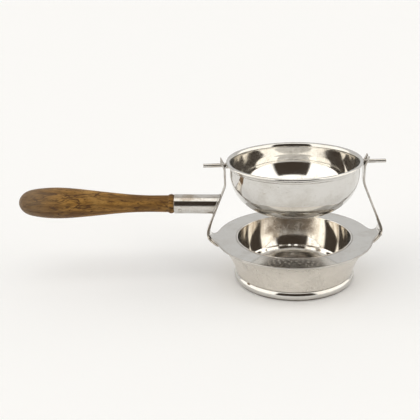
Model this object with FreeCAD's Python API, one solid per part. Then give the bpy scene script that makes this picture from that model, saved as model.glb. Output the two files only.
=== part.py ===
import FreeCAD, Part
import math
import os

from FreeCAD import Vector

# A hand-held tea strainer on its own drip stand.  A pierced bowl hangs by two long side pins
# in open forks at the tops of two bent uprights.  The uprights are soldered under the ears of
# a flat flange; below it are a drip basin, a flared skirt and a half-round foot ring.  A turned
# wooden handle is riveted into a ferrule on the left upright.
#
# Frame: millimetres, +Z up, origin at the centre of the foot's underside.  The pins lie along X
# and the handle points to -X.

# ---- driving dimensions -------------------------------------------------------------------
# strainer bowl
RIM_R = 37.5            # outer radius over the rim wire
RIM_TOP = 69.7          # height of the rim above the table
BOWL_R = 35.6           # outer radius of the straight upper wall
BOWL_T = 0.6            # thickness of the spun sheet
BOWL_SHOULDER = 63.0    # height where the straight wall turns into the corner arc
BOWL_CORNER_R = 22.0    # radius of the corner arc
BOWL_BOTTOM = 39.3      # lowest point of the bowl
BOWL_EDGE_DROP = 0.1    # the sheet's edge ends this far below the top of the rim wire
RIM_WIRE_H = 1.4        # height of the half-round rim wire
RIM_WIRE_FLAT = 0.7     # width of its flat part, before the nose
RIM_BAND_H = 1.7        # height of the narrow band under the rim wire
RIM_BAND_T = 0.6        # thickness of that band
HOLE_R = 0.8            # radius of one straining hole
HOLE_RINGS = 5          # rings of holes round the central hole
HOLE_PITCH = 2.9        # distance between rings

# side pins and the bosses that hold them
PIN_Z = 67.4            # height of the pin axis
PIN_R = 1.1
PIN_FIT = 0.05          # radial clearance of a pin in its boss
PIN_TIP_X = 50.2        # distance of a pin's tip from the bowl's axis
PIN_TIP_FILLET = 0.35
PIN_WALL_GAP = 0.15     # between a pin's inner end and the bowl's wall
BOSS_R = 1.9
BOSS_END_X = 37.6

# stand: flange, basin, skirt and foot
FLANGE_R = 44.3
FLANGE_UNDER = 23.6     # height of the flange's underside
FLANGE_T = 0.8
BASIN_R = 32.7          # outer radius of the basin at the flange
BASIN_T = 0.7
BASIN_LIP = 0.2         # how far the basin's edge stands above the flange
# radius, height: the wall curves in through these two points, on its upper face
BASIN_WALL = [(30.6, 14.5), (28.0, 7.1)]
# the same two points on its under face
BASIN_WALL_UNDER = [(31.28, 14.33), (28.65, 6.8)]
# the stepped shoulder between wall and floor, on the upper face and then underneath
BASIN_SHOULDER = [(27.3, 6.4), (26.5, 5.0), (25.8, 4.6)]
BASIN_SHOULDER_UNDER = [(27.9, 5.9), (27.05, 4.5), (25.5, 3.9)]
BASIN_MIDDLE = 4.9      # height of the floor's upper face in its middle
SKIRT_TOP_R = 43.5
SKIRT_WAIST_R = 36.7    # outer radius at half height, which gives the skirt its flare
SKIRT_FOOT_R = 33.5
SKIRT_T = 0.8
FOOT_R = 34.4
FOOT_INNER_R = 31.6
FOOT_H = 4.8
FOOT_NOSE_Z = 2.16      # height of the foot ring's widest point
FOOT_FLAT = 1.1         # how far inside the nose its flat faces end

# ears of the flange
EAR_NECK = 2.6          # half width towards which the ear's flanks curve
EAR_FLANK_R = 12.0      # radius of the concave flanks
EAR_BEND_X = 43.8       # where the ear starts to curl up
EAR_CURL_R = 4.6        # radius of the curl, on the ear's underside
EAR_TAB_TOP = 33.2      # height of the ear's turned-up tip
# height, half width of the turned-up tip
EAR_WIDTHS = [(20.0, 14.0), (25.2, 12.0), (26.2, 6.2), (28.5, 4.0), (31.0, 2.4), (EAR_TAB_TOP, 0.9)]

# uprights
UPRIGHT_T = 1.1
UPRIGHT_LEAN = 22.0     # degrees from vertical on the long run
UPRIGHT_TOP_X = 37.75   # inner face of the upright below the fork
UPRIGHT_KNEE_R = 18.0   # radius where the right upright's long run turns upright
LEFT_KNEE_R = 8.0       # the left upright is bent more sharply there
FORK_FLARE_Z = 64.6     # where the prongs start to flare outwards
FORK_FLARE_R = 7.0
FORK_FLARE = 28.0       # degrees
FORK_TIP = 3.4          # straight length at the prong tips
FORK_FIT = 0.10         # radial clearance of a pin in the fork
FORK_MOUTH = 2.1        # half width to which the fork opens at FORK_TOP
FORK_TOP = 75.0
FORK_SEAT = 0.8         # height above the pin's axis where the fork starts to open
FOOT_PROUD = 0.3        # how far an upright's foot shows round the ear
LEAF_TIP_R = 4.8        # half width where the leaf-shaped foot runs into the shank
# height, half width of an upright
UPRIGHT_WIDTHS = [(20.0, 11.0), (24.4, 9.0), (26.5, 5.2), (30.0, 3.4), (36.0, 2.0), (46.0, 1.7),
                  (56.0, 2.0), (61.5, 3.0), (66.0, 3.5), (74.0, 4.1)]

# handle
HANDLE_RISE = 2.0       # degrees that the handle climbs away from the bowl
HANDLE_Z = 44.9         # height of the handle's axis at HANDLE_X
HANDLE_X = 48.0
FERRULE_MOUTH = 67.3    # distance of the ferrule's mouth from the bowl's axis
FERRULE_R = 5.5
FERRULE_T = 0.5
END_PLATE_T = 0.9
END_PLATE_R = 5.75
TENON_R = 4.95
TENON_L = 16.0
RIVET_R = 0.9
RIVET_HEAD_R = 1.25
RIVET_HEAD_H = 0.25
RIVET_INSET = 3.4       # distance of the rivet from the ferrule's mouth
RIVET_DROP = 25.0       # degrees below level, on the front side
# turned profile: distance from the ferrule's mouth, radius
HANDLE_BEAD = [(0.3, 5.1), (1.9, 5.55), (3.5, 4.85)]
HANDLE_BELLY = [(3.5, 4.85), (12.5, 4.75), (30.0, 5.6), (50.0, 7.7), (67.0, 8.8), (78.5, 7.9),
                (85.5, 5.4), (88.4, 0.0)]

FLANGE_TOP = FLANGE_UNDER + FLANGE_T
CLEAR = 60.0            # beyond every piece of the stand, for blocks that only cut
AXIS = Vector(0, 0, 1)
ALONG_X = Vector(1, 0, 0)
ORIGIN = Vector(0, 0, 0)
RIGHT, LEFT = 1, -1
NODES = {}


# ---- helpers ------------------------------------------------------------------------------
def line(a, b):
    return Part.LineSegment(a, b).toShape()


def arc(a, middle, b):
    return Part.Arc(a, middle, b).toShape()


def spline(points):
    curve = Part.BSplineCurve()
    curve.interpolate(points)
    return curve.toShape()


def rz(radius, height):
    """A point of a turned profile, in the XZ plane."""
    return Vector(radius, 0, height)


def polygon(points):
    return Part.Face(Part.makePolygon(points + points[:1]))


def turned(face):
    """Revolve a profile face in the XZ plane about the bowl's axis."""
    return face.revolve(ORIGIN, AXIS, 360)


def mirrored(shape):
    """The same piece on the other side, across the YZ plane."""
    return shape.mirror(ORIGIN, ALONG_X)


def sided(shape, side):
    return shape if side == RIGHT else mirrored(shape)


def box(x0, x1, y0, y1, z0, z1):
    return Part.makeBox(x1 - x0, y1 - y0, z1 - z0, Vector(x0, y0, z0))


def keep(name, shape):
    """Store a finished piece under the name of its node."""
    shape = shape.removeSplitter()
    NODES[name] = shape


# ---- strainer bowl ------------------------------------------------------------------------
def bowl_bottom_radius():
    """Radius of the bottom arc, centred on the axis and tangent to the corner arc."""
    across = BOWL_R - BOWL_CORNER_R
    up = BOWL_SHOULDER - BOWL_BOTTOM
    return (up ** 2 + across ** 2 - BOWL_CORNER_R ** 2) / (2 * (up - BOWL_CORNER_R))


def bowl_profile(inset):
    """Edges of the bowl's wall from rim to axis, moved inwards by inset."""
    bottom_r = bowl_bottom_radius()
    across = BOWL_R - BOWL_CORNER_R
    bottom_centre = BOWL_BOTTOM + bottom_r
    turn = math.atan2(across, bottom_centre - BOWL_SHOULDER)

    def corner(angle):
        radius = BOWL_CORNER_R - inset
        return rz(across + radius * math.cos(angle), BOWL_SHOULDER - radius * math.sin(angle))

    def bottom(angle):
        radius = bottom_r - inset
        return rz(radius * math.sin(angle), bottom_centre - radius * math.cos(angle))

    meet = math.pi / 2 - turn
    return [line(rz(BOWL_R - inset, RIM_TOP - BOWL_EDGE_DROP), corner(0)),
            arc(corner(0), corner(meet / 2), corner(meet)),
            arc(bottom(turn), bottom(turn / 2), bottom(0))]


def straining_holes():
    """One hole in the middle and rings of six, twelve, eighteen... round it."""
    depth = 12.0
    low = BOWL_BOTTOM - 1
    holes = [Part.makeCylinder(HOLE_R, depth, Vector(0, 0, low))]
    for n in range(1, HOLE_RINGS + 1):
        for k in range(6 * n):
            angle = 2 * math.pi * k / (6 * n)
            at = Vector(math.cos(angle), math.sin(angle), 0) * n * HOLE_PITCH
            holes.append(Part.makeCylinder(HOLE_R, depth, at + AXIS * low))
    return holes


def make_bowl():
    outer = bowl_profile(0)
    inner = bowl_profile(BOWL_T)
    top = line(inner[0].Vertexes[0].Point, outer[0].Vertexes[0].Point)
    axis = line(outer[-1].Vertexes[-1].Point, inner[-1].Vertexes[-1].Point)
    wire = Part.Wire(Part.__sortEdges__([top, axis] + outer + inner))
    keep("strainer_bowl", turned(Part.Face(wire)).cut(straining_holes()))


def rod_along_x(radius, start, end, side):
    """A cylinder on the pins' axis, from start to end outwards."""
    return sided(Part.makeCylinder(radius, end - start, Vector(start, 0, PIN_Z), ALONG_X), side)


def boss_blank(side):
    """The round boss as one cylinder, also used to notch the wire and band that it crosses."""
    return rod_along_x(BOSS_R, BOWL_R - BOWL_T, BOSS_END_X, side)


def make_rim():
    """Half-round wire round the bowl's edge, and the narrow band under it."""
    low = RIM_TOP - RIM_WIRE_H
    nose = Vector(RIM_R, 0, low + RIM_WIRE_H / 2)
    flat = RIM_WIRE_FLAT
    wire_face = Part.Face(Part.Wire([
        line(rz(BOWL_R, low), rz(BOWL_R, RIM_TOP)),
        line(rz(BOWL_R, RIM_TOP), rz(BOWL_R + flat, RIM_TOP)),
        arc(rz(BOWL_R + flat, RIM_TOP), nose, rz(BOWL_R + flat, low)),
        line(rz(BOWL_R + flat, low), rz(BOWL_R, low))]))
    band_low = low - RIM_BAND_H
    band_r = BOWL_R + RIM_BAND_T
    round_z = band_low + RIM_BAND_T
    halfway = RIM_BAND_T * math.cos(math.pi / 4)
    band_face = Part.Face(Part.Wire([
        line(rz(BOWL_R, band_low), rz(BOWL_R, low)),
        line(rz(BOWL_R, low), rz(band_r, low)),
        line(rz(band_r, low), rz(band_r, round_z)),
        arc(rz(band_r, round_z), rz(BOWL_R + halfway, round_z - halfway),
            rz(BOWL_R, band_low))]))
    bosses = [boss_blank(RIGHT), boss_blank(LEFT)]
    keep("rim_wire", turned(wire_face).cut(bosses))
    keep("rim_band", turned(band_face).cut(bosses))


def make_pins():
    """Each pin turns in a boss that is soldered to the outside of the bowl's wall."""
    wall = Part.makeCylinder(BOWL_R, RIM_TOP, ORIGIN)
    pin = rod_along_x(PIN_R, BOWL_R + PIN_WALL_GAP, PIN_TIP_X, RIGHT)
    tip = [e for e in pin.Edges if abs(e.CenterOfMass.x - PIN_TIP_X) < 0.01]
    pin = pin.makeFillet(PIN_TIP_FILLET, tip[:1])
    for side, name in ((LEFT, "left"), (RIGHT, "right")):
        bore = rod_along_x(PIN_R + PIN_FIT, 0, CLEAR, side)
        keep("pin_boss_" + name, boss_blank(side).cut([wall, bore]))
        keep("pin_" + name, sided(pin, side))


# ---- stand --------------------------------------------------------------------------------
def ear_flank():
    """Centre of a flank's concave arc, outside the flange circle and tangent to it."""
    y = EAR_NECK + EAR_FLANK_R
    x = math.sqrt((FLANGE_R + EAR_FLANK_R) ** 2 - y ** 2)
    return x, y


def plate_outline(grow, low, high):
    """The flange's outline with its two ears as a prism, grown outwards by grow."""
    x, y = ear_flank()
    blank = Part.makeCylinder(FLANGE_R + grow, high - low, Vector(0, 0, low))
    reach = FLANGE_R + 8.0
    slope = y / x
    for side in (RIGHT, LEFT):
        corners = [Vector(0, 0, low), Vector(side * reach, -slope * reach, low),
                   Vector(side * reach, slope * reach, low)]
        blank = blank.fuse(polygon(corners).extrude(Vector(0, 0, high - low)))
    flanks = [Part.makeCylinder(EAR_FLANK_R - grow, high - low, Vector(sx * x, sy * y, low))
              for sx in (-1, 1) for sy in (-1, 1)]
    return blank.cut(flanks)


class Strip:
    """Side view of an upright, as it stands on the right: a chain of tangent lines and arcs.

    The chain is the face where the upright and the ear are soldered together; offset > 0 gives
    the same chain moved outwards, to the far face of the upright, and offset < 0 gives the
    upper face of the ear."""

    def __init__(self, knee_r):
        lean = math.radians(UPRIGHT_LEAN)
        self.lean = lean
        self.knee_r = knee_r
        self.curl = (EAR_BEND_X, FLANGE_UNDER + EAR_CURL_R)
        start_x = self.curl[0] + EAR_CURL_R * math.cos(lean)
        start_z = self.curl[1] + EAR_CURL_R * math.sin(lean)
        knee_x = UPRIGHT_TOP_X + knee_r * (1 - math.cos(lean))
        knee_z = start_z + (start_x - knee_x) / math.tan(lean)
        self.knee = (UPRIGHT_TOP_X + knee_r, knee_z + knee_r * math.sin(lean))
        self.flare = (UPRIGHT_TOP_X + FORK_FLARE_R, FORK_FLARE_Z)

    def on_curl(self, angle, offset):
        radius = EAR_CURL_R + offset
        return rz(self.curl[0] + radius * math.cos(angle), self.curl[1] + radius * math.sin(angle))

    def on_knee(self, angle, offset):
        radius = self.knee_r - offset
        return rz(self.knee[0] - radius * math.cos(angle), self.knee[1] - radius * math.sin(angle))

    def on_flare(self, angle, offset):
        radius = FORK_FLARE_R - offset
        return rz(self.flare[0] - radius * math.cos(angle),
                  self.flare[1] + radius * math.sin(angle))

    def tip(self, offset):
        flare = math.radians(FORK_FLARE)
        end = self.on_flare(flare, offset)
        return end + Vector(math.sin(flare), 0, math.cos(flare)) * FORK_TIP

    def edges(self, offset, inner_x):
        flat = FLANGE_UNDER - offset
        lean, flare = self.lean, math.radians(FORK_FLARE)
        return [line(rz(inner_x, flat), self.on_curl(-math.pi / 2, offset)),
                arc(self.on_curl(-math.pi / 2, offset), self.on_curl((lean - math.pi / 2) / 2, offset),
                    self.on_curl(lean, offset)),
                line(self.on_curl(lean, offset), self.on_knee(lean, offset)),
                arc(self.on_knee(lean, offset), self.on_knee(lean / 2, offset),
                    self.on_knee(0, offset)),
                line(self.on_knee(0, offset), self.on_flare(0, offset)),
                arc(self.on_flare(0, offset), self.on_flare(flare / 2, offset),
                    self.on_flare(flare, offset)),
                line(self.on_flare(flare, offset), self.tip(offset))]

    def band(self, near, far, inner_x, half_width):
        """Solid between two offsets of the chain, half_width to each side of Y = 0."""
        a, b = self.edges(near, inner_x), self.edges(far, inner_x)
        caps = [line(a[0].Vertexes[0].Point, b[0].Vertexes[0].Point),
                line(self.tip(near), self.tip(far))]
        face = Part.Face(Part.Wire(Part.__sortEdges__(a + b + caps)))
        face.translate(Vector(0, -half_width, 0))
        return face.extrude(Vector(0, 2 * half_width, 0))

    def outer_face_point(self):
        """A point and the outward normal of the long run's outer face."""
        return self.on_curl(self.lean, UPRIGHT_T), rz(math.cos(self.lean), math.sin(self.lean))


STRIPS = {RIGHT: Strip(UPRIGHT_KNEE_R), LEFT: Strip(LEFT_KNEE_R)}


def side_mask(widths):
    """Prism along X whose half width follows widths, a list of (height, half width)."""
    right = [Vector(0, w, z) for z, w in widths]
    left = [Vector(0, -w, z) for z, w in reversed(widths)]
    wire = Part.Wire([spline(right), line(right[-1], left[0]), spline(left),
                      line(left[-1], right[0])])
    return Part.Face(wire).extrude(ALONG_X * CLEAR)


def make_flange():
    """Flat ring with two ears whose tips curl up inside the uprights."""
    flat = plate_outline(0, FLANGE_UNDER, FLANGE_TOP)
    inside_bends = box(-EAR_BEND_X, EAR_BEND_X, -CLEAR, CLEAR, 0, CLEAR)
    flat = flat.common(inside_bends).cut(Part.makeCylinder(BASIN_R, CLEAR))
    tab = STRIPS[RIGHT].band(-FLANGE_T, 0, EAR_BEND_X - FLANGE_T, EAR_WIDTHS[0][1])
    tab = tab.common(plate_outline(0, 0, CLEAR)).common(side_mask(EAR_WIDTHS)).cut(inside_bends)
    keep("flange_plate", flat.fuse([tab, mirrored(tab)]))


def skirt_profile(inset):
    middle = 0.5 * (FOOT_H + FLANGE_UNDER)
    return (rz(SKIRT_FOOT_R - inset, FOOT_H), rz(SKIRT_WAIST_R - inset, middle),
            rz(SKIRT_TOP_R - inset, FLANGE_UNDER))


def make_skirt():
    low, mid, high = skirt_profile(0)
    low_in, mid_in, high_in = skirt_profile(SKIRT_T)
    face = Part.Face(Part.Wire([arc(low, mid, high), line(high, high_in),
                                arc(high_in, mid_in, low_in), line(low_in, low)]))
    keep("skirt", turned(face))


def make_foot_ring():
    """Half-round section: flat inside and below, bulging outside."""
    inner, flat = FOOT_INNER_R, FOOT_FLAT
    face = Part.Face(Part.Wire([
        line(rz(inner, 0), rz(FOOT_R - flat, 0)),
        arc(rz(FOOT_R - flat, 0), rz(FOOT_R, FOOT_NOSE_Z), rz(FOOT_R - flat, FOOT_H)),
        line(rz(FOOT_R - flat, FOOT_H), rz(inner, FOOT_H)),
        line(rz(inner, FOOT_H), rz(inner, 0))]))
    keep("foot_ring", turned(face))


def basin_face(radius, top, wall, shoulder, middle):
    """One face of the basin's sheet, from its edge down to the middle of the floor."""
    chain = [wall[1]] + shoulder + [(0, middle)]
    edges = [arc(rz(radius, top), rz(*wall[0]), rz(*wall[1]))]
    edges += [line(rz(*a), rz(*b)) for a, b in zip(chain, chain[1:])]
    return edges


def make_basin():
    """Spun cup: a wall that curves in, a small stepped shoulder and a nearly flat floor."""
    top = FLANGE_TOP + BASIN_LIP
    under = BASIN_MIDDLE - BASIN_T
    edges = basin_face(BASIN_R - BASIN_T, top, BASIN_WALL, BASIN_SHOULDER, BASIN_MIDDLE)
    edges.append(line(rz(0, BASIN_MIDDLE), rz(0, under)))
    edges += reversed(basin_face(BASIN_R, top, BASIN_WALL_UNDER, BASIN_SHOULDER_UNDER, under))
    edges.append(line(rz(BASIN_R, top), rz(BASIN_R - BASIN_T, top)))
    keep("drip_basin", turned(Part.Face(Part.Wire(edges))))


# ---- uprights -----------------------------------------------------------------------------
def upright_plan():
    """Prism that the upright stays inside: a leaf-shaped foot, and clear above it."""
    foot = plate_outline(FOOT_PROUD, 0, CLEAR + FORK_TOP)
    tip_x = EAR_BEND_X + EAR_CURL_R - UPRIGHT_T
    tip = box(tip_x, CLEAR, -LEAF_TIP_R, LEAF_TIP_R, 0, FORK_TOP)
    above = box(0, CLEAR, -CLEAR, CLEAR, FLANGE_UNDER + 2 * UPRIGHT_T, FORK_TOP)
    return foot.fuse([tip, above])


def skirt_body():
    """The skirt without its hollow, which the uprights' feet stop against."""
    low, mid, high = skirt_profile(0)
    axis_high, axis_low = rz(0, high.z), rz(0, low.z)
    return turned(Part.Face(Part.Wire([arc(low, mid, high), line(high, axis_high),
                                       line(axis_high, axis_low), line(axis_low, low)])))


def fork_slot():
    """Round seat for the pin, opening slowly to the top."""
    radius = PIN_R + FORK_FIT
    seat_top = PIN_Z + FORK_SEAT
    half = [Vector(0, radius, PIN_Z), Vector(0, radius, seat_top), Vector(0, FORK_MOUTH, FORK_TOP)]
    other = [Vector(0, -v.y, v.z) for v in reversed(half)]
    opening = polygon(half + other).extrude(ALONG_X * CLEAR)
    return opening.fuse(rod_along_x(radius, 0, CLEAR, RIGHT))


def make_uprights():
    """Bent strip: leaf-shaped foot under the ear, slim shank, open fork for the pin."""
    plan = upright_plan()
    widths = side_mask(UPRIGHT_WIDTHS)
    cutters = [skirt_body(), fork_slot()]
    for side, name in ((LEFT, "upright_left"), (RIGHT, "upright_right")):
        blank = STRIPS[side].band(0, UPRIGHT_T, SKIRT_WAIST_R, UPRIGHT_WIDTHS[0][1])
        keep(name, sided(blank.common(plan).common(widths).cut(cutters), side))


# ---- handle -------------------------------------------------------------------------------
def handle_direction():
    rise = math.radians(HANDLE_RISE)
    return Vector(-math.cos(rise), 0, math.sin(rise))


def along_handle(distance):
    """Point on the handle's axis, at a horizontal distance from the bowl's axis."""
    run = distance - HANDLE_X
    return Vector(-distance, 0, HANDLE_Z + run * math.tan(math.radians(HANDLE_RISE)))


def place_on_handle(shape):
    """Put a piece built along +Z from the ferrule's mouth onto the handle's axis."""
    turn = FreeCAD.Rotation(AXIS, handle_direction())
    shape.Placement = FreeCAD.Placement(along_handle(FERRULE_MOUTH), turn)
    return shape


def beyond_upright(gap):
    """Block outside the left upright's outer face, moved off it by gap."""
    point, normal = STRIPS[LEFT].outer_face_point()
    outwards = Vector(-normal.x, 0, normal.z)
    size = 4 * CLEAR
    block = Part.makeBox(size, size, size, Vector(0, -size / 2, -size / 2))
    start = Vector(-point.x, 0, point.z) + outwards * gap
    block.Placement = FreeCAD.Placement(start, FreeCAD.Rotation(ALONG_X, outwards))
    return block


def rivet_blank(radius, half_length):
    """A rod on the rivet's axis, which crosses the handle's axis."""
    shape = Part.makeCylinder(radius, 2 * half_length, Vector(0, 0, -half_length))
    drop = math.radians(RIVET_DROP)
    turn = FreeCAD.Rotation(AXIS, Vector(0, -math.cos(drop), -math.sin(drop)))
    shape.Placement = FreeCAD.Placement(along_handle(FERRULE_MOUTH - RIVET_INSET), turn)
    return shape


def make_ferrule():
    """Tube cut obliquely to the upright's lean, with a plate closing its lower end."""
    bottom = Vector(0, 0, -CLEAR)
    tube = Part.makeCylinder(FERRULE_R, CLEAR, bottom)
    tube = place_on_handle(tube.cut(Part.makeCylinder(FERRULE_R - FERRULE_T, CLEAR, bottom)))
    tube = tube.common(beyond_upright(END_PLATE_T))
    keep("handle_ferrule", tube.cut(rivet_blank(RIVET_R, CLEAR)))
    plate = place_on_handle(Part.makeCylinder(END_PLATE_R, CLEAR, bottom))
    plate = plate.common(beyond_upright(0)).cut(beyond_upright(END_PLATE_T))
    keep("ferrule_end_plate", plate)


def make_rivet():
    shank = rivet_blank(RIVET_R, FERRULE_R)
    heads = rivet_blank(RIVET_HEAD_R, FERRULE_R + RIVET_HEAD_H)
    ferrule = place_on_handle(Part.makeCylinder(FERRULE_R, CLEAR, Vector(0, 0, -CLEAR / 2)))
    keep("ferrule_rivet", shank.fuse(heads.cut(ferrule)))


def make_handle():
    """Turned handle: tenon, bead, slim neck and a full egg-shaped end."""
    bead = [rz(radius, along) for along, radius in HANDLE_BEAD]
    belly = [rz(radius, along) for along, radius in HANDLE_BELLY]
    curve = Part.BSplineCurve()
    curve.interpolate(belly, InitialTangent=Vector(0, 0, 1), FinalTangent=Vector(-1, 0, 0))
    shoulder = bead[0].z
    edges = [line(rz(0, -TENON_L), rz(TENON_R, -TENON_L)),
             line(rz(TENON_R, -TENON_L), rz(TENON_R, shoulder)),
             line(rz(TENON_R, shoulder), bead[0]), arc(*bead), curve.toShape(),
             line(belly[-1], rz(0, -TENON_L))]
    handle = turned(Part.Face(Part.Wire(edges)))
    keep("wooden_handle", place_on_handle(handle).cut(rivet_blank(RIVET_R, CLEAR)))


# ---- build and write ----------------------------------------------------------------------
def main():
    make_bowl()
    make_rim()
    make_pins()
    make_flange()
    make_skirt()
    make_foot_ring()
    make_basin()
    make_uprights()
    make_ferrule()
    make_rivet()
    make_handle()
    os.makedirs("parts", exist_ok=True)
    for name, shape in NODES.items():
        shape.exportStep(os.path.join("parts", name + ".step"))
        size = shape.BoundBox
        print("%-18s solids %d valid %s volume %8.1f  x %.1f..%.1f  y %.1f..%.1f  z %.1f..%.1f" % (
            name, len(shape.Solids), shape.isValid(), shape.Volume, size.XMin, size.XMax,
            size.YMin, size.YMax, size.ZMin, size.ZMax))


main()
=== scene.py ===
# %% [markdown]
# # A silver tea strainer on its drip stand
#
# The real thing is a small piece of worn silver plate. A pierced bowl hangs by two long side
# pins in the open forks of two bent uprights. The uprights are soldered under the ears of a flat
# flange, and below the flange are a drip basin, a flared skirt and a half-round foot. A turned
# wooden handle is riveted into a tube on the left upright.
#
# A working model with every piece in its place is loaded first. It is right in size but plain,
# so this lesson makes each piece again with soft edges and a real finish, and hides the plain
# one. Sizes are read off the working model where it has them, so nothing has to be fitted.

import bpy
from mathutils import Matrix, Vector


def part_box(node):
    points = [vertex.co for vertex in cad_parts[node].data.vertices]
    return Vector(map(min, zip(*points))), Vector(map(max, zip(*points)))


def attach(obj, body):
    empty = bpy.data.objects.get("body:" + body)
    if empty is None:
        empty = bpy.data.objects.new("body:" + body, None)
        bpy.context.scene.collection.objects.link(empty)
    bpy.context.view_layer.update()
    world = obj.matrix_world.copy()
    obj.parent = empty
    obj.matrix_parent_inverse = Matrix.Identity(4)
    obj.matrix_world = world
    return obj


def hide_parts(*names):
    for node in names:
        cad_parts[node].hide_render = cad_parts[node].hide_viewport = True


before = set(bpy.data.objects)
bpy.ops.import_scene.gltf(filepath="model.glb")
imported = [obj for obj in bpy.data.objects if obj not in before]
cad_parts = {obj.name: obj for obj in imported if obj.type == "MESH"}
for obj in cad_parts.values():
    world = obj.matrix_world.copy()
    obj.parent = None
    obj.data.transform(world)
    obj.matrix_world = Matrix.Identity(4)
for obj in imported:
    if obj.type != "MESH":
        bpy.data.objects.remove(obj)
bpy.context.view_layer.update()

# %% The other tools of this lesson
import math
import random

import bmesh
import bpy
import numpy as np
from mathutils import Matrix, Vector, noise
from mathutils.geometry import delaunay_2d_cdt

MM = 0.001              # Blender works in metres; the sizes below are in millimetres
UP = Vector((0, 0, 1))
print("Blender", bpy.app.version_string)

# %% [markdown]
# ## Reading sizes
#
# A box round each piece of the working model gives most of what a maker would measure with
# calipers: radii, heights and the line of the pins. Only sizes that a box can't show, such as
# the radius of a bend, are written out later, next to the piece that needs them.

# %% Measure the working model
def measure(node):
    """Lowest and highest corner of a piece of the working model, in millimetres."""
    low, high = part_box(node)
    return low / MM, high / MM


bowl_low, bowl_high = measure("strainer_bowl")
rim_low, rim_high = measure("rim_wire")
band_low, band_high = measure("rim_band")
pin_low, pin_high = measure("pin_right")
_, boss_high = measure("pin_boss_right")
flange_low, flange_high = measure("flange_plate")
_, basin_high = measure("drip_basin")
_, foot_high = measure("foot_ring")
PIN_Z = (pin_low.z + pin_high.z) / 2
PIN_R = pin_high.z - PIN_Z
BOSS_R = boss_high.z - PIN_Z
FLANGE_UNDER = flange_low.z
FLANGE_R = flange_high.y
print("rim radius %.1f, pin height %.1f, flange radius %.1f" % (rim_high.x, PIN_Z, FLANGE_R))

# %% [markdown]
# ## Small helpers for node trees
#
# Materials, the light and the shapes that repeat are all node trees. Built by hand, a tree is
# many clicks; in a script it is many lines. One helper that adds a node and fills or wires its
# inputs keeps each tree about as long as its idea, and the three steps that come back most,
# arithmetic, a soft fade and a blend of two colours, get a short name each.

# %% Add a node
def add(tree, kind, inputs=None, **settings):
    """Add a node. An input given as a socket is wired, and any other value is typed in."""
    made = tree.nodes.new(kind)
    for name, value in settings.items():
        setattr(made, name, value)
    for name, value in (inputs or {}).items():
        if isinstance(value, bpy.types.NodeSocket):
            tree.links.new(value, made.inputs[name])
        else:
            made.inputs[name].default_value = value
    return made


def calculate(tree, operation, a, b=0.0, c=0.0):
    """One step of arithmetic; gives the socket with the answer."""
    return add(tree, "ShaderNodeMath", {0: a, 1: b, 2: c}, operation=operation).outputs[0]


def fade(tree, value, start, end, low=0.0, high=1.0):
    """Go smoothly from low to high while value goes from start to end."""
    made = add(tree, "ShaderNodeMapRange", {0: value, 1: start, 2: end, 3: low, 4: high},
               interpolation_type="SMOOTHSTEP")
    return made.outputs[0]


def blend_colours(tree, amount, a, b):
    """Colour a where amount is 0, and colour b where it is 1."""
    made = add(tree, "ShaderNodeMix", {0: amount, 6: a, 7: b}, data_type="RGBA")
    return made.outputs[2]

# %% [markdown]
# ## Worn silver plate
#
# Old plate is never one even mirror. It has a thin warm film of tarnish in soft clouds, fine
# hairlines from a century of polishing cloths, a few dark pin holes where the plate has lifted,
# and brown tea and old polish left in its creases; creases and joints also get painted shade, a
# brown darkening wherever nearby surfaces shade each other. A ready picture of metal wrapped
# round the pieces would freeze someone else's reflections into them, so the finish is made of
# noise: one recipe, with a different hand of polish for each piece. The gentle waves left by the
# hammer and the spinning lathe go in as bump, because they bend reflections without changing the
# shape.

# %% Tones and marks of silver
POLISHED = (0.90, 0.875, 0.83, 1.0)
WARM = (0.69, 0.675, 0.645, 1.0)
CLOUDED = (0.52, 0.49, 0.44, 1.0)
SKIRT_WARM = (0.79, 0.745, 0.68, 1.0)
BROWNED = (0.36, 0.28, 0.19, 1.0)
PIN_HOLE = (0.11, 0.075, 0.045, 1.0)
# brown of old tea and grime, also used for the painted shade in creases and joints
TEA_AND_SHADE_BROWN = (0.12, 0.075, 0.038, 1.0)
HAZE = 0.45                             # how rough the thin cloudy layer over the metal is
CREASE_REACH = 1.7                      # how near two surfaces shade each other, in millimetres


def speckle(tree, where, scale, detail, rough=0.5):
    """Plain noise; scale counts its lumps in a metre."""
    made = add(tree, "ShaderNodeTexNoise", {"Vector": where, "Scale": scale, "Detail": detail,
                                            "Roughness": rough})
    return made.outputs[0]


def hairlines(tree, where, turn):
    """Long thin streaks that run across the surface at one angle."""
    laid = add(tree, "ShaderNodeMapping", {"Vector": where, "Rotation": turn,
                                           "Scale": (60.0, 2600.0, 2600.0)})
    return speckle(tree, laid.outputs[0], 1.0, 2.0)
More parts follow.
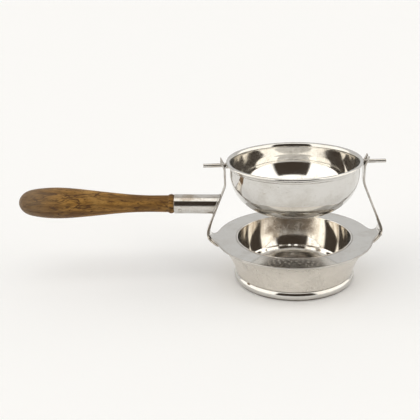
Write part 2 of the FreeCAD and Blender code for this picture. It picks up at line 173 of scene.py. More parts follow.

# %% [markdown]
# The recipe works from the metal outwards: the bare tone, a cloudy film over it, freckles and
# pin holes where the plate has lifted, old tea in the creases together with painted shade where
# nearby surfaces shade each other, and last how rough each of these is and how it stands up or
# sinks in.

# %% Write the recipe down
def silver(name, bright, dull, roughness, film, waves, pits, crease_shade_and_stain):
    """Worn plate. film is how cloudy it is, waves are in millimetres; pits and the last argument
    go from 0 to 1, the last being how strongly real grime and painted crease shade darken the
    metal.
    Faces with the attribute "polished" get the brightest tone instead of their own."""
    material = bpy.data.materials.new(name)
    material.use_nodes = True
    tree = material.node_tree
    shader = tree.nodes["Principled BSDF"]
    shader.inputs["Metallic"].default_value = 1.0
    shader.inputs["Coat Roughness"].default_value = HAZE
    where = add(tree, "ShaderNodeTexCoord").outputs["Object"]
    cloud = speckle(tree, where, 75.0, 6.0, 0.62)
    dust = speckle(tree, where, 1100.0, 3.0, 0.7)
    mottled = calculate(tree, "MULTIPLY_ADD", dust, 0.35, cloud)
    polished = add(tree, "ShaderNodeAttribute", attribute_name="polished").outputs["Fac"]
    bright = blend_colours(tree, polished, bright, POLISHED)
    filmed = fade(tree, mottled, 0.56, 0.95, 0.0, film)
    hazy = calculate(tree, "MULTIPLY_ADD", filmed, 0.8, 0.35)
    tree.links.new(hazy, shader.inputs["Coat Weight"])
    colour = blend_colours(tree, filmed, bright, dull)

    # brown freckles, in loose groups
    fleck = speckle(tree, where, 900.0, 5.0, 0.75)
    group = speckle(tree, where, 120.0, 2.0)
    fleck = calculate(tree, "MULTIPLY", fade(tree, fleck, 0.56, 0.70),
                      fade(tree, group, 0.46, 0.66, 0.08, 0.75))
    colour = blend_colours(tree, calculate(tree, "MULTIPLY", fleck, pits), colour, BROWNED)

    # dark pin holes: one small ragged dot in some of the cells of a Voronoi pattern
    ragged = add(tree, "ShaderNodeTexNoise", {"Vector": where, "Scale": 2400.0, "Detail": 2.0})
    nudge = add(tree, "ShaderNodeVectorMath", {0: ragged.outputs["Color"], "Scale": 0.45 * MM},
                operation="SCALE").outputs[0]
    nudged = add(tree, "ShaderNodeVectorMath", {0: where, 1: nudge}, operation="ADD").outputs[0]
    cells = add(tree, "ShaderNodeTexVoronoi", {"Vector": nudged, "Scale": 480.0})
    chosen = add(tree, "ShaderNodeSeparateColor", {"Color": cells.outputs["Color"]})
    size = fade(tree, chosen.outputs[0], 1.0 - 0.5 * pits, 1.0, 0.0, 0.15)
    dot = calculate(tree, "SUBTRACT", size, cells.outputs["Distance"])
    dot = calculate(tree, "MULTIPLY", fade(tree, dot, 0.0, 0.06),
                    fade(tree, chosen.outputs[1], 0.0, 1.0, 0.35, 0.9))
    colour = blend_colours(tree, dot, colour, PIN_HOLE)

    # painted shade and real dirt: a brown darkening in creases and joints wherever nearby surfaces
    #     shade each other (painted shade, read from ambient occlusion), and real dirt where a
    #     piece says so in its attribute "grime"
    open_sky = add(tree, "ShaderNodeAmbientOcclusion", {"Distance": CREASE_REACH * MM},
                   samples=8)
    crease_shade_and_grime = fade(tree, open_sky.outputs["AO"], 0.86, 0.45)
    grime = add(tree, "ShaderNodeAttribute", attribute_name="grime").outputs["Fac"]
    crease_shade_and_grime = calculate(tree, "MAXIMUM", crease_shade_and_grime, calculate(tree, "MULTIPLY", grime, 0.75))
    shade_and_dirt = calculate(tree, "MULTIPLY", crease_shade_and_grime, fade(tree, mottled, 0.45, 0.75, 0.45, crease_shade_and_stain))
    colour = blend_colours(tree, shade_and_dirt, colour, TEA_AND_SHADE_BROWN)
    tree.links.new(colour, shader.inputs["Base Color"])

    streaks = calculate(tree, "MAXIMUM", hairlines(tree, where, (0.2, 0.5, 0.9)),
                        hairlines(tree, where, (1.1, 0.3, 2.3)))
    polish = calculate(tree, "MULTIPLY_ADD", fade(tree, streaks, 0.55, 0.8), 0.09, roughness)
    polish = calculate(tree, "MULTIPLY_ADD", filmed, 0.12, polish)
    polish = calculate(tree, "MULTIPLY_ADD", calculate(tree, "ADD", dot, shade_and_dirt), 0.3, polish)
    tree.links.new(polish, shader.inputs["Roughness"])

    swell = speckle(tree, where, 85.0, 1.5, 0.4)
    slow = add(tree, "ShaderNodeBump", {"Height": swell, "Distance": waves * MM, "Strength": 1.0})
    marks = calculate(tree, "MULTIPLY_ADD", dust, 0.5, streaks)
    marks = calculate(tree, "SUBTRACT", marks, calculate(tree, "MULTIPLY", dot, 6.0))
    fine = add(tree, "ShaderNodeBump", {"Height": marks, "Distance": 0.0016 * MM,
                                        "Strength": 1.0, "Normal": slow.outputs[0]})
    tree.links.new(fine.outputs[0], shader.inputs["Normal"])
    return material


# %% Polish each piece its own way
bowl_silver = silver("bowl silver", WARM, CLOUDED, 0.05, 0.75, 0.02, 1.0, 1.0)
rim_silver = silver("rim silver", WARM, CLOUDED, 0.09, 0.6, 0.02, 0.3, 1.0)
pin_silver = silver("pin silver", WARM, BROWNED, 0.2, 0.8, 0.03, 0.6, 0.9)
flange_silver = silver("flange silver", WARM, CLOUDED, 0.06, 0.5, 0.012, 0.9, 0.9)
skirt_silver = silver("skirt silver", SKIRT_WARM, CLOUDED, 0.24, 0.5, 0.03, 0.8, 0.9)
foot_silver = silver("foot silver", WARM, CLOUDED, 0.07, 0.5, 0.03, 0.6, 0.9)
basin_silver = silver("tea-stained silver", POLISHED, BROWNED, 0.05, 0.8, 0.03, 0.9, 1.0)
strip_silver = silver("strip silver", WARM, BROWNED, 0.15, 0.8, 0.03, 0.6, 1.0)
tube_silver = silver("tube silver", WARM, BROWNED, 0.08, 1.0, 0.02, 1.0, 1.0)
print("silver finishes:", len(bpy.data.materials))

# %% [markdown]
# ## Old turned wood
#
# The handle is a close-grained fruit wood, oiled by hands until it is the brown of tea. Lathe
# work cuts a straight-grained blank lengthwise, so the grain runs from end to end: long pale
# and dark stripes, short pores, and a few wandering dark lines. The end, which stands in the
# palm, has gone grey. Two holes, a scar and a split near the tube are cut into the mesh later;
# the mesh marks those places in an attribute called "worn", and the finish darkens them.

# %% Lay out the grain
HANDLE_RISE = math.radians(2.0)         # the handle climbs slightly, away from the bowl
DARK_STRIPE = (0.125, 0.055, 0.010, 1.0)
LIGHT_STRIPE = (0.365, 0.190, 0.043, 1.0)
GOLDEN = (0.455, 0.260, 0.074, 1.0)
FIBRE_BROWN = (0.070, 0.032, 0.008, 1.0)
LINE_BROWN = (0.060, 0.026, 0.008, 1.0)
PORE_BROWN = (0.050, 0.024, 0.010, 1.0)
PALM_GREY = (0.170, 0.125, 0.085, 1.0)
HOLLOW_BLACK = (0.016, 0.009, 0.005, 1.0)


def old_wood(name, mouth):
    """Brown wood with its grain along the handle. mouth is where the handle leaves the tube."""
    material = bpy.data.materials.new(name)
    material.use_nodes = True
    tree = material.node_tree
    shader = tree.nodes["Principled BSDF"]
    shader.inputs["Specular IOR Level"].default_value = 0.22
    where = add(tree, "ShaderNodeTexCoord").outputs["Object"]
    laid = add(tree, "ShaderNodeMapping", {"Vector": where, "Location": -mouth * MM},
               vector_type="POINT").outputs[0]
    laid = add(tree, "ShaderNodeMapping", {"Vector": laid, "Rotation": (0, -HANDLE_RISE, 0)})
    laid = laid.outputs[0]

    def grain(along, across, detail, rough=0.6, bend=0.0):
        """Noise pulled out along the handle; along and across are stripes in a metre."""
        pulled = add(tree, "ShaderNodeMapping", {"Vector": laid, "Scale": (along, across, across)})
        made = add(tree, "ShaderNodeTexNoise", {"Vector": pulled.outputs[0], "Scale": 1.0,
                                                "Detail": detail, "Roughness": rough,
                                                "Distortion": bend})
        return made.outputs[0]

    stripes = grain(26.0, 210.0, 6.0, 0.62, 0.6)
    fibres = grain(160.0, 1500.0, 4.0, 0.7)
    pores = grain(300.0, 1500.0, 4.0, 0.65)
    figure = grain(34.0, 120.0, 3.0, 0.5, 1.4)
    blotch = grain(55.0, 75.0, 4.0, 0.6)
    colour = blend_colours(tree, fade(tree, stripes, 0.34, 0.66), DARK_STRIPE, LIGHT_STRIPE)
    colour = blend_colours(tree, fade(tree, fibres, 0.44, 0.66, 0.0, 0.8), colour, FIBRE_BROWN)
    colour = blend_colours(tree, fade(tree, blotch, 0.5, 0.75, 0.0, 0.6), colour, GOLDEN)

    # wandering dark lines: thin contours of a slow pattern
    contour = calculate(tree, "ABSOLUTE", calculate(tree, "SUBTRACT", figure, 0.5))
    line = calculate(tree, "MULTIPLY", fade(tree, contour, 0.030, 0.006),
                     fade(tree, blotch, 0.36, 0.52))
    colour = blend_colours(tree, calculate(tree, "MULTIPLY", line, 0.85), colour, LINE_BROWN)
    pore = fade(tree, pores, 0.57, 0.66)
    colour = blend_colours(tree, calculate(tree, "MULTIPLY", pore, 0.8), colour, PORE_BROWN)

    # grey from handling, towards the far end
    along = add(tree, "ShaderNodeSeparateXYZ", {"Vector": laid}).outputs[0]
    palm = calculate(tree, "MULTIPLY", fade(tree, along, -0.055, -0.088),
                     fade(tree, stripes, 0.35, 0.6, 0.35, 0.8))
    colour = blend_colours(tree, palm, colour, PALM_GREY)
    worn = add(tree, "ShaderNodeAttribute", attribute_name="worn").outputs["Fac"]
    colour = blend_colours(tree, worn, colour, HOLLOW_BLACK)
    tree.links.new(colour, shader.inputs["Base Color"])

    sheen = calculate(tree, "MULTIPLY_ADD", fibres, 0.22, 0.40)
    sheen = calculate(tree, "MULTIPLY_ADD", calculate(tree, "ADD", worn, pore), 0.3, sheen)
    tree.links.new(sheen, shader.inputs["Roughness"])
    relief = calculate(tree, "MULTIPLY_ADD", fibres, -0.6, stripes)
    relief = calculate(tree, "SUBTRACT", relief, calculate(tree, "ADD", pore, line))
    bump = add(tree, "ShaderNodeBump", {"Height": relief, "Distance": 0.05 * MM, "Strength": 1.0})
    tree.links.new(bump.outputs[0], shader.inputs["Normal"])
    return material

# %% [markdown]
# ## A lathe made of nodes
#
# Nearly every piece here was spun or turned: one outline, taken once round an axis. Blender's
# Spin tool would do it, but a small Geometry Nodes tree is a real lathe: it takes any outline,
# asks how many steps to make round the work, and can be used again for every piece. The tree
# lays out a grid, reads one point of the outline for each row, and turns each column a bit
# further round. Merging closes the seam and the points on the axis.
#
# The outline is a row of points: distance from the axis as X, height as Z. It is walked with
# the metal on its left, so that every face ends up pointing out of the metal.

# %% Build the lathe
def new_tree(name, inputs):
    """A Geometry Nodes tree with named inputs; gives the tree and its input sockets."""
    tree = bpy.data.node_groups.new(name, "GeometryNodeTree")
    for label, kind in inputs:
        tree.interface.new_socket(label, in_out="INPUT", socket_type="NodeSocket" + kind)
    tree.interface.new_socket("Result", in_out="OUTPUT", socket_type="NodeSocketGeometry")
    return tree, tree.nodes.new("NodeGroupInput").outputs


def end_tree(tree, geometry, finish):
    """Close a tree in the usual way: real faces, smooth, with their finish."""
    real = add(tree, "GeometryNodeRealizeInstances", {"Geometry": geometry}).outputs[0]
    soft = add(tree, "GeometryNodeSetShadeSmooth", {"Geometry": real}).outputs[0]
    done = add(tree, "GeometryNodeSetMaterial", {"Geometry": soft, "Material": finish}).outputs[0]
    add(tree, "NodeGroupOutput", {"Result": done})


lathe, given = new_tree("lathe", [("Outline", "Geometry"), ("Steps round", "Int"),
                                  ("Finish", "Material")])
rows = add(lathe, "GeometryNodeAttributeDomainSize", {"Geometry": given["Outline"]}).outputs[0]
columns = calculate(lathe, "ADD", given["Steps round"], 1.0)
grid = add(lathe, "GeometryNodeMeshGrid", {"Vertices X": columns, "Vertices Y": rows}).outputs[0]
number = add(lathe, "GeometryNodeInputIndex").outputs[0]
row = add(lathe, "FunctionNodeIntegerMath", {0: number, 1: rows}, operation="MODULO").outputs[0]
column = add(lathe, "FunctionNodeIntegerMath", {0: number, 1: rows},
             operation="DIVIDE_FLOOR").outputs[0]
position = add(lathe, "GeometryNodeInputPosition").outputs[0]
picked = add(lathe, "GeometryNodeSampleIndex", {"Geometry": given["Outline"], "Index": row},
             data_type="FLOAT_VECTOR")
lathe.links.new(position, picked.inputs["Value"])
angle = calculate(lathe, "MULTIPLY", column,
                  calculate(lathe, "DIVIDE", 2 * math.pi, given["Steps round"]))
turned = add(lathe, "ShaderNodeVectorRotate", {"Vector": picked.outputs[0], "Angle": angle},
             rotation_type="Z_AXIS").outputs[0]
shaped = add(lathe, "GeometryNodeSetPosition", {"Geometry": grid, "Position": turned}).outputs[0]
merged = add(lathe, "GeometryNodeMergeByDistance", {"Geometry": shaped, "Distance": 0.0005 * MM})
end_tree(lathe, merged.outputs[0], given["Finish"])
print("lathe nodes:", len(lathe.nodes))

# %% Use a tree and keep the plain mesh
def volume(mesh):
    """Volume inside a closed mesh, in cubic millimetres; it is negative if inside out."""
    mesh.calc_loop_triangles()
    total = 0.0
    for triangle in mesh.loop_triangles:
        a, b, c = (mesh.vertices[k].co for k in triangle.vertices)
        total += a.dot(b.cross(c))
    return total / 6 / MM ** 3


def put_in_scene(name, mesh):
    """An object for a finished mesh, with its size printed."""
    piece = bpy.data.objects.new(name, mesh)
    bpy.context.scene.collection.objects.link(piece)
    print("%-18s %6d faces %9.1f mm3" % (name, len(mesh.polygons), volume(mesh)))
    return piece


def add_grime(mesh, amounts):
    """Note how dirty each point of a mesh is, from 0 to about 1, for the finish to read."""
    mesh.attributes.new("grime", "FLOAT", "POINT").data.foreach_set("value", amounts)


def ramp(value, start, end):
    """From 0 at start to 1 at end, smoothly."""
    t = min(1.0, max(0.0, (value - start) / (end - start)))
    return t * t * (3 - 2 * t)


def run_tree(tree, start, inputs):
    """Run a node tree on a mesh and give the mesh that comes out."""
    carrier = bpy.data.objects.new("carrier", start)
    bpy.context.scene.collection.objects.link(carrier)
    modifier = carrier.modifiers.new(tree.name, "NODES")
    modifier.node_group = tree
    for item in tree.interface.items_tree:
        if item.name in inputs:
            modifier[item.identifier] = inputs[item.name]
    depsgraph = bpy.context.evaluated_depsgraph_get()
    mesh = bpy.data.meshes.new_from_object(carrier.evaluated_get(depsgraph), depsgraph=depsgraph)
    carrier.modifiers.clear()
    bpy.data.objects.remove(carrier)
    return mesh


def turn(outline, finish, steps=192):
    """Turn an outline of (radius, height) points on the lathe."""
    chain = bpy.data.meshes.new("outline")
    chain.from_pydata([(max(r, 0.0) * MM, 0, z * MM) for r, z in outline], [], [])
    return run_tree(lathe, chain, {"Steps round": steps, "Finish": finish})

# %% [markdown]
# ## Drawing outlines
#
# Metal outlines are straight runs and arcs. Three helpers draw them: an arc from its centre, an
# arc through three points, and one that rounds every corner of a chain a little. That last one
# matters more than it looks: no real edge is perfectly sharp, and on polished metal the tiny
# rounded edge is the bright line that shows where one face ends.

# %% Arcs, soft corners and even spacing
def arc(centre, radius, start, end, steps=12):
    """Points of an arc from start to end, in degrees from the first axis."""
    turns = [math.radians(start + (end - start) * k / steps) for k in range(steps + 1)]
    return [(centre[0] + radius * math.cos(t), centre[1] + radius * math.sin(t)) for t in turns]


def arc_through(a, b, c, steps=24):
    """Points of the arc from a through b to c."""
    a, b, c = Vector(a), Vector(b), Vector(c)
    d = 2 * (a.x * (b.y - c.y) + b.x * (c.y - a.y) + c.x * (a.y - b.y))
    centre = Vector((
        (a.dot(a) * (b.y - c.y) + b.dot(b) * (c.y - a.y) + c.dot(c) * (a.y - b.y)) / d,
        (a.dot(a) * (c.x - b.x) + b.dot(b) * (a.x - c.x) + c.dot(c) * (b.x - a.x)) / d))
    first = math.degrees(math.atan2(a.y - centre.y, a.x - centre.x))
    last = math.degrees(math.atan2(c.y - centre.y, c.x - centre.x))
    return arc(centre, (a - centre).length, first, last, steps)


def soften(chain, radius, closed=False, steps=4):
    """Round the corners of a chain of points; shorter sides get smaller rounds."""
    points = [Vector(p) for p in chain]
    count = len(points)
    result = [] if closed else [tuple(points[0])]
    for k in range(0 if closed else 1, count if closed else count - 1):
        before, here, after = points[k - 1], points[k], points[(k + 1) % count]
        back, ahead = before - here, after - here
        opening = back.angle(ahead)
        if opening > math.radians(176):
            result.append(tuple(here))
            continue
        reach = min(radius / math.tan(opening / 2), 0.48 * back.length, 0.48 * ahead.length)
        start, end = here + back.normalized() * reach, here + ahead.normalized() * reach
        for n in range(steps + 1):
            t = n / steps
            result.append(tuple(start * (1 - t) ** 2 + here * 2 * t * (1 - t) + end * t ** 2))
    return result if closed else result + [tuple(points[-1])]


def evenly(chain, longest, closed=False):
    """Cut long sides up, so that no two neighbours are further apart than longest."""
    points = [Vector(p) for p in chain]
    if closed:
        points.append(points[0])
    result = [points[0]]
    for a, b in zip(points, points[1:]):
        cuts = max(1, math.ceil((b - a).length / longest))
        result += [a.lerp(b, (k + 1) / cuts) for k in range(cuts)]
    return [tuple(p) for p in (result[:-1] if closed else result)]


def section(corners, radius, longest=1.2):
    """A closed section for the lathe, with soft corners; its first point is repeated last."""
    ring = evenly(soften(corners, radius, closed=True), longest, closed=True)
    return ring + ring[:1]

# %% [markdown]
# ## The pierced bowl
#
# The bowl was spun from one sheet: a short straight wall, a corner of even radius and a nearly
# flat bottom, which is an arc on the axis that runs smoothly into the corner. The bottom is
# drilled with a hole in the middle and rings of six, twelve, eighteen holes and so on, each a
# step further out. Modelling 91 holes by hand would be tedious and uneven, and a picture of
# holes would not let tea, or light, through. So a second tree works out the place of hole
# number n, stands a small cutter there square to the metal, and cuts them all away at once.
# The cutter is waisted, wider at both faces of the sheet, so each hole gets a softened edge.

# %% Draw the bowl
BOWL_R = bowl_high.x
BOWL_WALL = 0.6
BOWL_SHOULDER = 63.0                    # height where the wall turns into the corner
BOWL_CORNER_R = 22.0
EDGE_HIDDEN = 2.7                       # the sheet's edge ends this far down, inside the wire
across = BOWL_R - BOWL_CORNER_R
up = BOWL_SHOULDER - bowl_low.z
BOTTOM_R = (up ** 2 + across ** 2 - BOWL_CORNER_R ** 2) / (2 * (up - BOWL_CORNER_R))
BOTTOM_CENTRE = bowl_low.z + BOTTOM_R
BOTTOM_TURN = math.degrees(math.atan2(across, BOTTOM_CENTRE - BOWL_SHOULDER))


def bowl_face(inset):
    """One face of the sheet, from the axis up to the edge."""
    bottom = arc((0, BOTTOM_CENTRE), BOTTOM_R - inset, -90, -90 + BOTTOM_TURN, 22)
    corner = arc((across, BOWL_SHOULDER), BOWL_CORNER_R - inset, -90 + BOTTOM_TURN, 0, 34)
    wall = [(BOWL_R - inset, rim_high.z - EDGE_HIDDEN)]
    return evenly(bottom + corner[1:] + wall, 1.0)


bowl_outline = bowl_face(0) + bowl_face(BOWL_WALL)[::-1]
plain_bowl = turn(bowl_outline, bowl_silver)
print("bowl bottom radius %.1f, outline points %d" % (BOTTOM_R, len(bowl_outline)))

# %% Build the drilling tree
drill, given = new_tree("drill", [("Wall", "Geometry"), ("Cutter", "Object"), ("Rings", "Int"),
                                  ("Pitch", "Float"), ("Floor centre", "Float"),
                                  ("Floor radius", "Float"), ("Finish", "Material")])


def step(operation, a, b=0.0, c=0.0):
    """One step of the drill's arithmetic."""
    return calculate(drill, operation, a, b, c)


square = step("MULTIPLY", given["Rings"], step("ADD", given["Rings"], 1.0))
holes = step("MULTIPLY_ADD", square, 3.0, 1.0)                      # 1 + 6 + 12 + 18 ...
number = add(drill, "GeometryNodeInputIndex").outputs[0]
root = step("SQRT", step("MULTIPLY_ADD", number, 12.0, 9.0))
ring = step("CEIL", step("DIVIDE", step("SUBTRACT", root, 3.001), 6.0))     # which ring n is in
inner = step("MULTIPLY", ring, step("SUBTRACT", ring, 1.0))
place = step("SUBTRACT", step("SUBTRACT", number, 1.0), step("MULTIPLY", inner, 3.0))
angle = step("DIVIDE", step("MULTIPLY", place, math.pi / 3), step("MAXIMUM", ring, 1.0))
out = step("MULTIPLY", ring, given["Pitch"])
x = step("MULTIPLY", out, step("COSINE", angle))
y = step("MULTIPLY", out, step("SINE", angle))
drop = step("SQRT", step("SUBTRACT", step("POWER", given["Floor radius"], 2.0),
                         step("POWER", out, 2.0)))
z = step("SUBTRACT", given["Floor centre"], drop)
spot = add(drill, "ShaderNodeCombineXYZ", {0: x, 1: y, 2: z}).outputs[0]
inwards = add(drill, "ShaderNodeCombineXYZ", {
    0: step("MULTIPLY", x, -1.0), 1: step("MULTIPLY", y, -1.0), 2: drop}).outputs[0]
points = add(drill, "GeometryNodePoints", {"Count": holes, "Position": spot}).outputs[0]
cutter = add(drill, "GeometryNodeObjectInfo", {"Object": given["Cutter"]}).outputs["Geometry"]
upright = add(drill, "FunctionNodeAlignRotationToVector", {"Vector": inwards}, axis="Z")
cutters = add(drill, "GeometryNodeInstanceOnPoints", {
    "Points": points, "Instance": cutter, "Rotation": upright.outputs[0]}).outputs[0]
cutters = add(drill, "GeometryNodeRealizeInstances", {"Geometry": cutters}).outputs[0]
pierced = add(drill, "GeometryNodeMeshBoolean", {"Mesh 1": given["Wall"]},
              operation="DIFFERENCE", solver="EXACT")
drill.links.new(cutters, pierced.inputs["Mesh 2"])
end_tree(drill, pierced.outputs[0], given["Finish"])
print("drill nodes:", len(drill.nodes))

# %% Drill the bottom
HOLE_R = 0.8
HOLE_EDGE = 0.07                        # how much wider a hole is at the faces of the sheet
HOLE_PITCH = 2.9
HOLE_RINGS = 5
half = BOWL_WALL / 2
waist = half - 1.6 * HOLE_EDGE
flared = HOLE_R + 3 * HOLE_EDGE
cutter_outline = [(0, -2 * half), (flared, -2 * half), (HOLE_R + HOLE_EDGE, -half),
                  (HOLE_R, -waist), (HOLE_R, waist), (HOLE_R + HOLE_EDGE, half),
                  (flared, 2 * half), (0, 2 * half)]
cutter_object = put_in_scene("cutter", turn(cutter_outline, bowl_silver, 20))
bowl_mesh = run_tree(drill, plain_bowl, {
    "Cutter": cutter_object, "Rings": HOLE_RINGS, "Pitch": HOLE_PITCH * MM,
    "Floor centre": BOTTOM_CENTRE * MM, "Floor radius": (BOTTOM_R - half) * MM,
    "Finish": bowl_silver})
bpy.data.objects.remove(cutter_object)
bowl = put_in_scene("pierced_bowl", bowl_mesh)

# %% [markdown]
# Cutting leaves long thin faces round the holes, and a smooth surface that guesses its slant
# from such faces looks creased. The true slant is known here: the bottom is part of a ball, the
# corner is part of a ring and the wall is straight. So each corner of a face is told the true
# direction, and the hole walls keep the direction of their own face.

# %% Give the pierced bowl its true slant
def true_slant(place):
    """The direction square to the bowl's outer face at a place: ball, corner or wall."""
    radius = math.hypot(place.x, place.y)
    level = Vector((place.x, place.y, 0)) / radius if radius > 1e-9 else Vector((0, 0, 0))
    below = (BOTTOM_CENTRE * MM - place.z) * math.tan(math.radians(BOTTOM_TURN))
    if radius < below:
        return (place - Vector((0, 0, BOTTOM_CENTRE * MM))).normalized()
    if place.z < BOWL_SHOULDER * MM:
        return (place - level * across * MM - UP * BOWL_SHOULDER * MM).normalized()
    return level


def show_true_slant(mesh):
    """Set the shading directions of the bowl; hole walls and the sheet's edge keep their own."""
    directions = [(0.0, 0.0, 0.0)] * len(mesh.loops)
    polished = mesh.attributes.new("polished", "FLOAT", "FACE")
    for face in mesh.polygons:
        polished.data[face.index].value = float(true_slant(face.center).dot(face.normal) < -0.5)
        for k in face.loop_indices:
            out = true_slant(mesh.vertices[mesh.loops[k].vertex_index].co)
            lined_up = out.dot(face.normal)
            if abs(lined_up) > 0.9:
                directions[k] = out if lined_up > 0 else -out
            else:
                directions[k] = face.normal
    mesh.normals_split_custom_set(directions)


def under_bottom(place):
    """Old tea gathers under the bottom, among the holes: how much of it is at a place."""
    p = place / MM
    is_outside = (p - Vector((0, 0, BOTTOM_CENTRE))).length > BOTTOM_R - half
    return 0.9 * ramp(math.hypot(p.x, p.y), 21, 13) * is_outside


show_true_slant(bowl_mesh)
add_grime(bowl_mesh, [under_bottom(vertex.co) for vertex in bowl_mesh.vertices])
print("face corners with a true slant:", len(bowl_mesh.loops))

# %% [markdown]
# ## Rim wire, band, bosses and pins
#
# A half-round wire is soldered round the bowl's edge, so that the thin sheet feels thick and
# pours cleanly, with a narrow band under it. On the real bowl, solder fills the step between
# the wire's crown and the sheet, and wear has made one smooth lip of them. So here the wire's
# section reaches over the sheet's edge and a little way down inside, where it flares. The pins
# are round rod with softened tips; each sits in a small round boss on the outside of the wall,
# and the band stops on either side of the boss.

# %% Wire and band
WIRE_LAP = 0.03                         # how far the wire stands inside the bowl's wall
wire_low, wire_top = rim_low.z, rim_high.z
wire_nose = (wire_low + wire_top) / 2
wire_r = rim_high.x - (wire_top - wire_low) / 2
wire_inner = BOWL_R - BOWL_WALL - WIRE_LAP
WIRE_CROWN = 0.22                       # how much higher the wire is in its middle
LIP_DEPTH, LIP_FLARE = 2.6, 1.0         # the lip opens a little before it reaches the top
IN_SHEET = 0.1                          # soldered faces end this deep inside the sheet
lip_start = wire_top - WIRE_CROWN - LIP_DEPTH
wire_outline = [(wire_inner, lip_start - 0.1), (BOWL_R - 2 * IN_SHEET, lip_start - 0.1),
                (BOWL_R - IN_SHEET, wire_low), (wire_r, wire_low)]
wire_outline += arc((wire_r, wire_nose), rim_high.x - wire_r, -90, 60, 12)[1:]
wire_outline += arc_through((wire_r + 0.3, wire_top - 0.02), (wire_r - 0.25, wire_top),
                            (wire_inner + LIP_FLARE, wire_top - WIRE_CROWN), 5)
wire_outline += [(wire_inner + LIP_FLARE * (1 - c), lip_start + LIP_DEPTH * h)
                 for c, h in arc((0, 0), 1, 80, 0, 12)]
rim = put_in_scene("rim_ring", turn(section(wire_outline, 0.12), rim_silver, 256))

BAND_SLOPE = 0.6                        # the band's lower edge is filed to a slope this high
band_outline = [(BOWL_R - IN_SHEET, band_low.z), (BOWL_R + 0.15, band_low.z),
                (band_high.x, band_low.z + BAND_SLOPE), (band_high.x, band_high.z + 0.1),
                (BOWL_R - IN_SHEET, band_high.z + 0.1)]


def open_at_bosses(mesh):
    """Take the ring away where the bosses are, and close the cut ends."""
    work = bmesh.new()
    work.from_mesh(mesh)
    hidden = [f for f in work.faces if abs(f.calc_center_median().y) < 0.9 * BOSS_R * MM]
    bmesh.ops.delete(work, geom=hidden, context="FACES")
    bmesh.ops.holes_fill(work, edges=[e for e in work.edges if e.is_boundary])
    work.to_mesh(mesh)
    work.free()
    return mesh


band_mesh = open_at_bosses(turn(section(band_outline, 0.25), rim_silver, 256))
band = put_in_scene("rim_band_ring", band_mesh)

# %% Bosses and pins
ALONG_X = Matrix.Rotation(math.pi / 2, 4, "Y")      # lays a piece turned on Z along X


def on_pin_line(mesh, side):
    """Lay a turned piece on the line of the pins, pointing right (1) or left (-1)."""
    lay = Matrix.Translation((0, 0, PIN_Z * MM)) @ ALONG_X
    if side < 0:
        lay = Matrix.Rotation(math.pi, 4, "Z") @ lay
    mesh.transform(lay)
    return mesh


PIN_TIP_R = 0.45
BORE_GAP = 0.04
pin_outline = evenly(soften([(0, pin_low.x), (PIN_R, pin_low.x), (PIN_R, pin_high.x),
                             (0, pin_high.x)], PIN_TIP_R), 0.8)
boss_start = BOWL_R - BOWL_WALL / 2
boss_outline = section([(PIN_R + BORE_GAP, boss_start), (BOSS_R, boss_start),
                        (BOSS_R, boss_high.x), (PIN_R + BORE_GAP, boss_high.x)], 0.25, 0.5)
side_pieces = {}
for side, word in ((-1, "left"), (1, "right")):
    pin_mesh = on_pin_line(turn(pin_outline, pin_silver, 40), side)
    boss_mesh = on_pin_line(turn(boss_outline, rim_silver, 48), side)
    side_pieces["pin_" + word] = put_in_scene("long_pin_" + word, pin_mesh)
    side_pieces["pin_boss_" + word] = put_in_scene("boss_" + word, boss_mesh)

# %% [markdown]
# ## Skirt, foot and drip basin
#
# Three more turned pieces stack up under the flange. The skirt flares in one slow arc and is
# only a sheet thick. The foot is a heavy half-round ring; its polished bulge is what catches
# the light low down. The basin is a separate spun cup that drops through the flange. Its wall
# curves in all the way down, to a stepped shoulder and a floor that rises very slightly to the
# middle, so it doesn't drum. Small steps like that shoulder draw the bright rings seen inside.
# Tea has dried in it: high on the far wall, where the bowl drips, and in a patch on the floor.

# %% Skirt and foot
SKIRT_WALL = 0.8
SKIRT_WAIST = 36.7                      # outer radius at half height
SKIRT_FOOT = 33.5                       # outer radius where it meets the foot
skirt_low, skirt_high = measure("skirt")
skirt_top = skirt_high.x


def skirt_face(inset):
    """One face of the skirt, from the foot up."""
    middle = (skirt_low.z + skirt_high.z) / 2
    return arc_through((SKIRT_FOOT - inset, skirt_low.z - 0.1), (SKIRT_WAIST - inset, middle),
                       (skirt_top - inset, skirt_high.z), 26)


skirt_outline = skirt_face(0) + skirt_face(SKIRT_WALL)[::-1]
skirt = put_in_scene("flared_skirt", turn(skirt_outline + skirt_outline[:1], skirt_silver, 256))

FOOT_FLAT = 1.1                         # how far inside the nose the flat faces end
FOOT_NOSE = 0.45 * foot_high.z
FOOT_INNER = 31.7
bulge = arc_through((foot_high.x - FOOT_FLAT, 0), (foot_high.x, FOOT_NOSE),
                    (foot_high.x - FOOT_FLAT, foot_high.z), 20)
foot_outline = section([(FOOT_INNER, 0)] + bulge + [(FOOT_INNER, foot_high.z)], 0.3)
foot = put_in_scene("half_round_foot", turn(foot_outline, foot_silver, 256))

# %% Basin
BASIN_WALL = 0.7
FLOOR_MIDDLE = 4.9                      # height of the floor in its middle
# (radius, height): two points that each face of the wall runs through, and its shoulder
WALL_UPPER, WALL_UNDER = [(30.6, 14.5), (28.0, 7.1)], [(31.28, 14.33), (28.65, 6.8)]
SHOULDER_UPPER = [(27.3, 6.4), (26.5, 5.0), (25.8, 4.6)]
SHOULDER_UNDER = [(25.5, 3.9), (27.05, 4.5), (27.9, 5.9)]
upper_face = arc_through((basin_high.x - BASIN_WALL, basin_high.z), *WALL_UPPER, 22)
under_face = arc_through((basin_high.x, basin_high.z), *WALL_UNDER, 22)
basin_chain = [(0, FLOOR_MIDDLE - BASIN_WALL)] + SHOULDER_UNDER + under_face[::-1]
basin_chain += upper_face + SHOULDER_UPPER + [(0, FLOOR_MIDDLE)]
basin_mesh = turn(evenly(soften(basin_chain, 0.2), 1.2), basin_silver, 256)


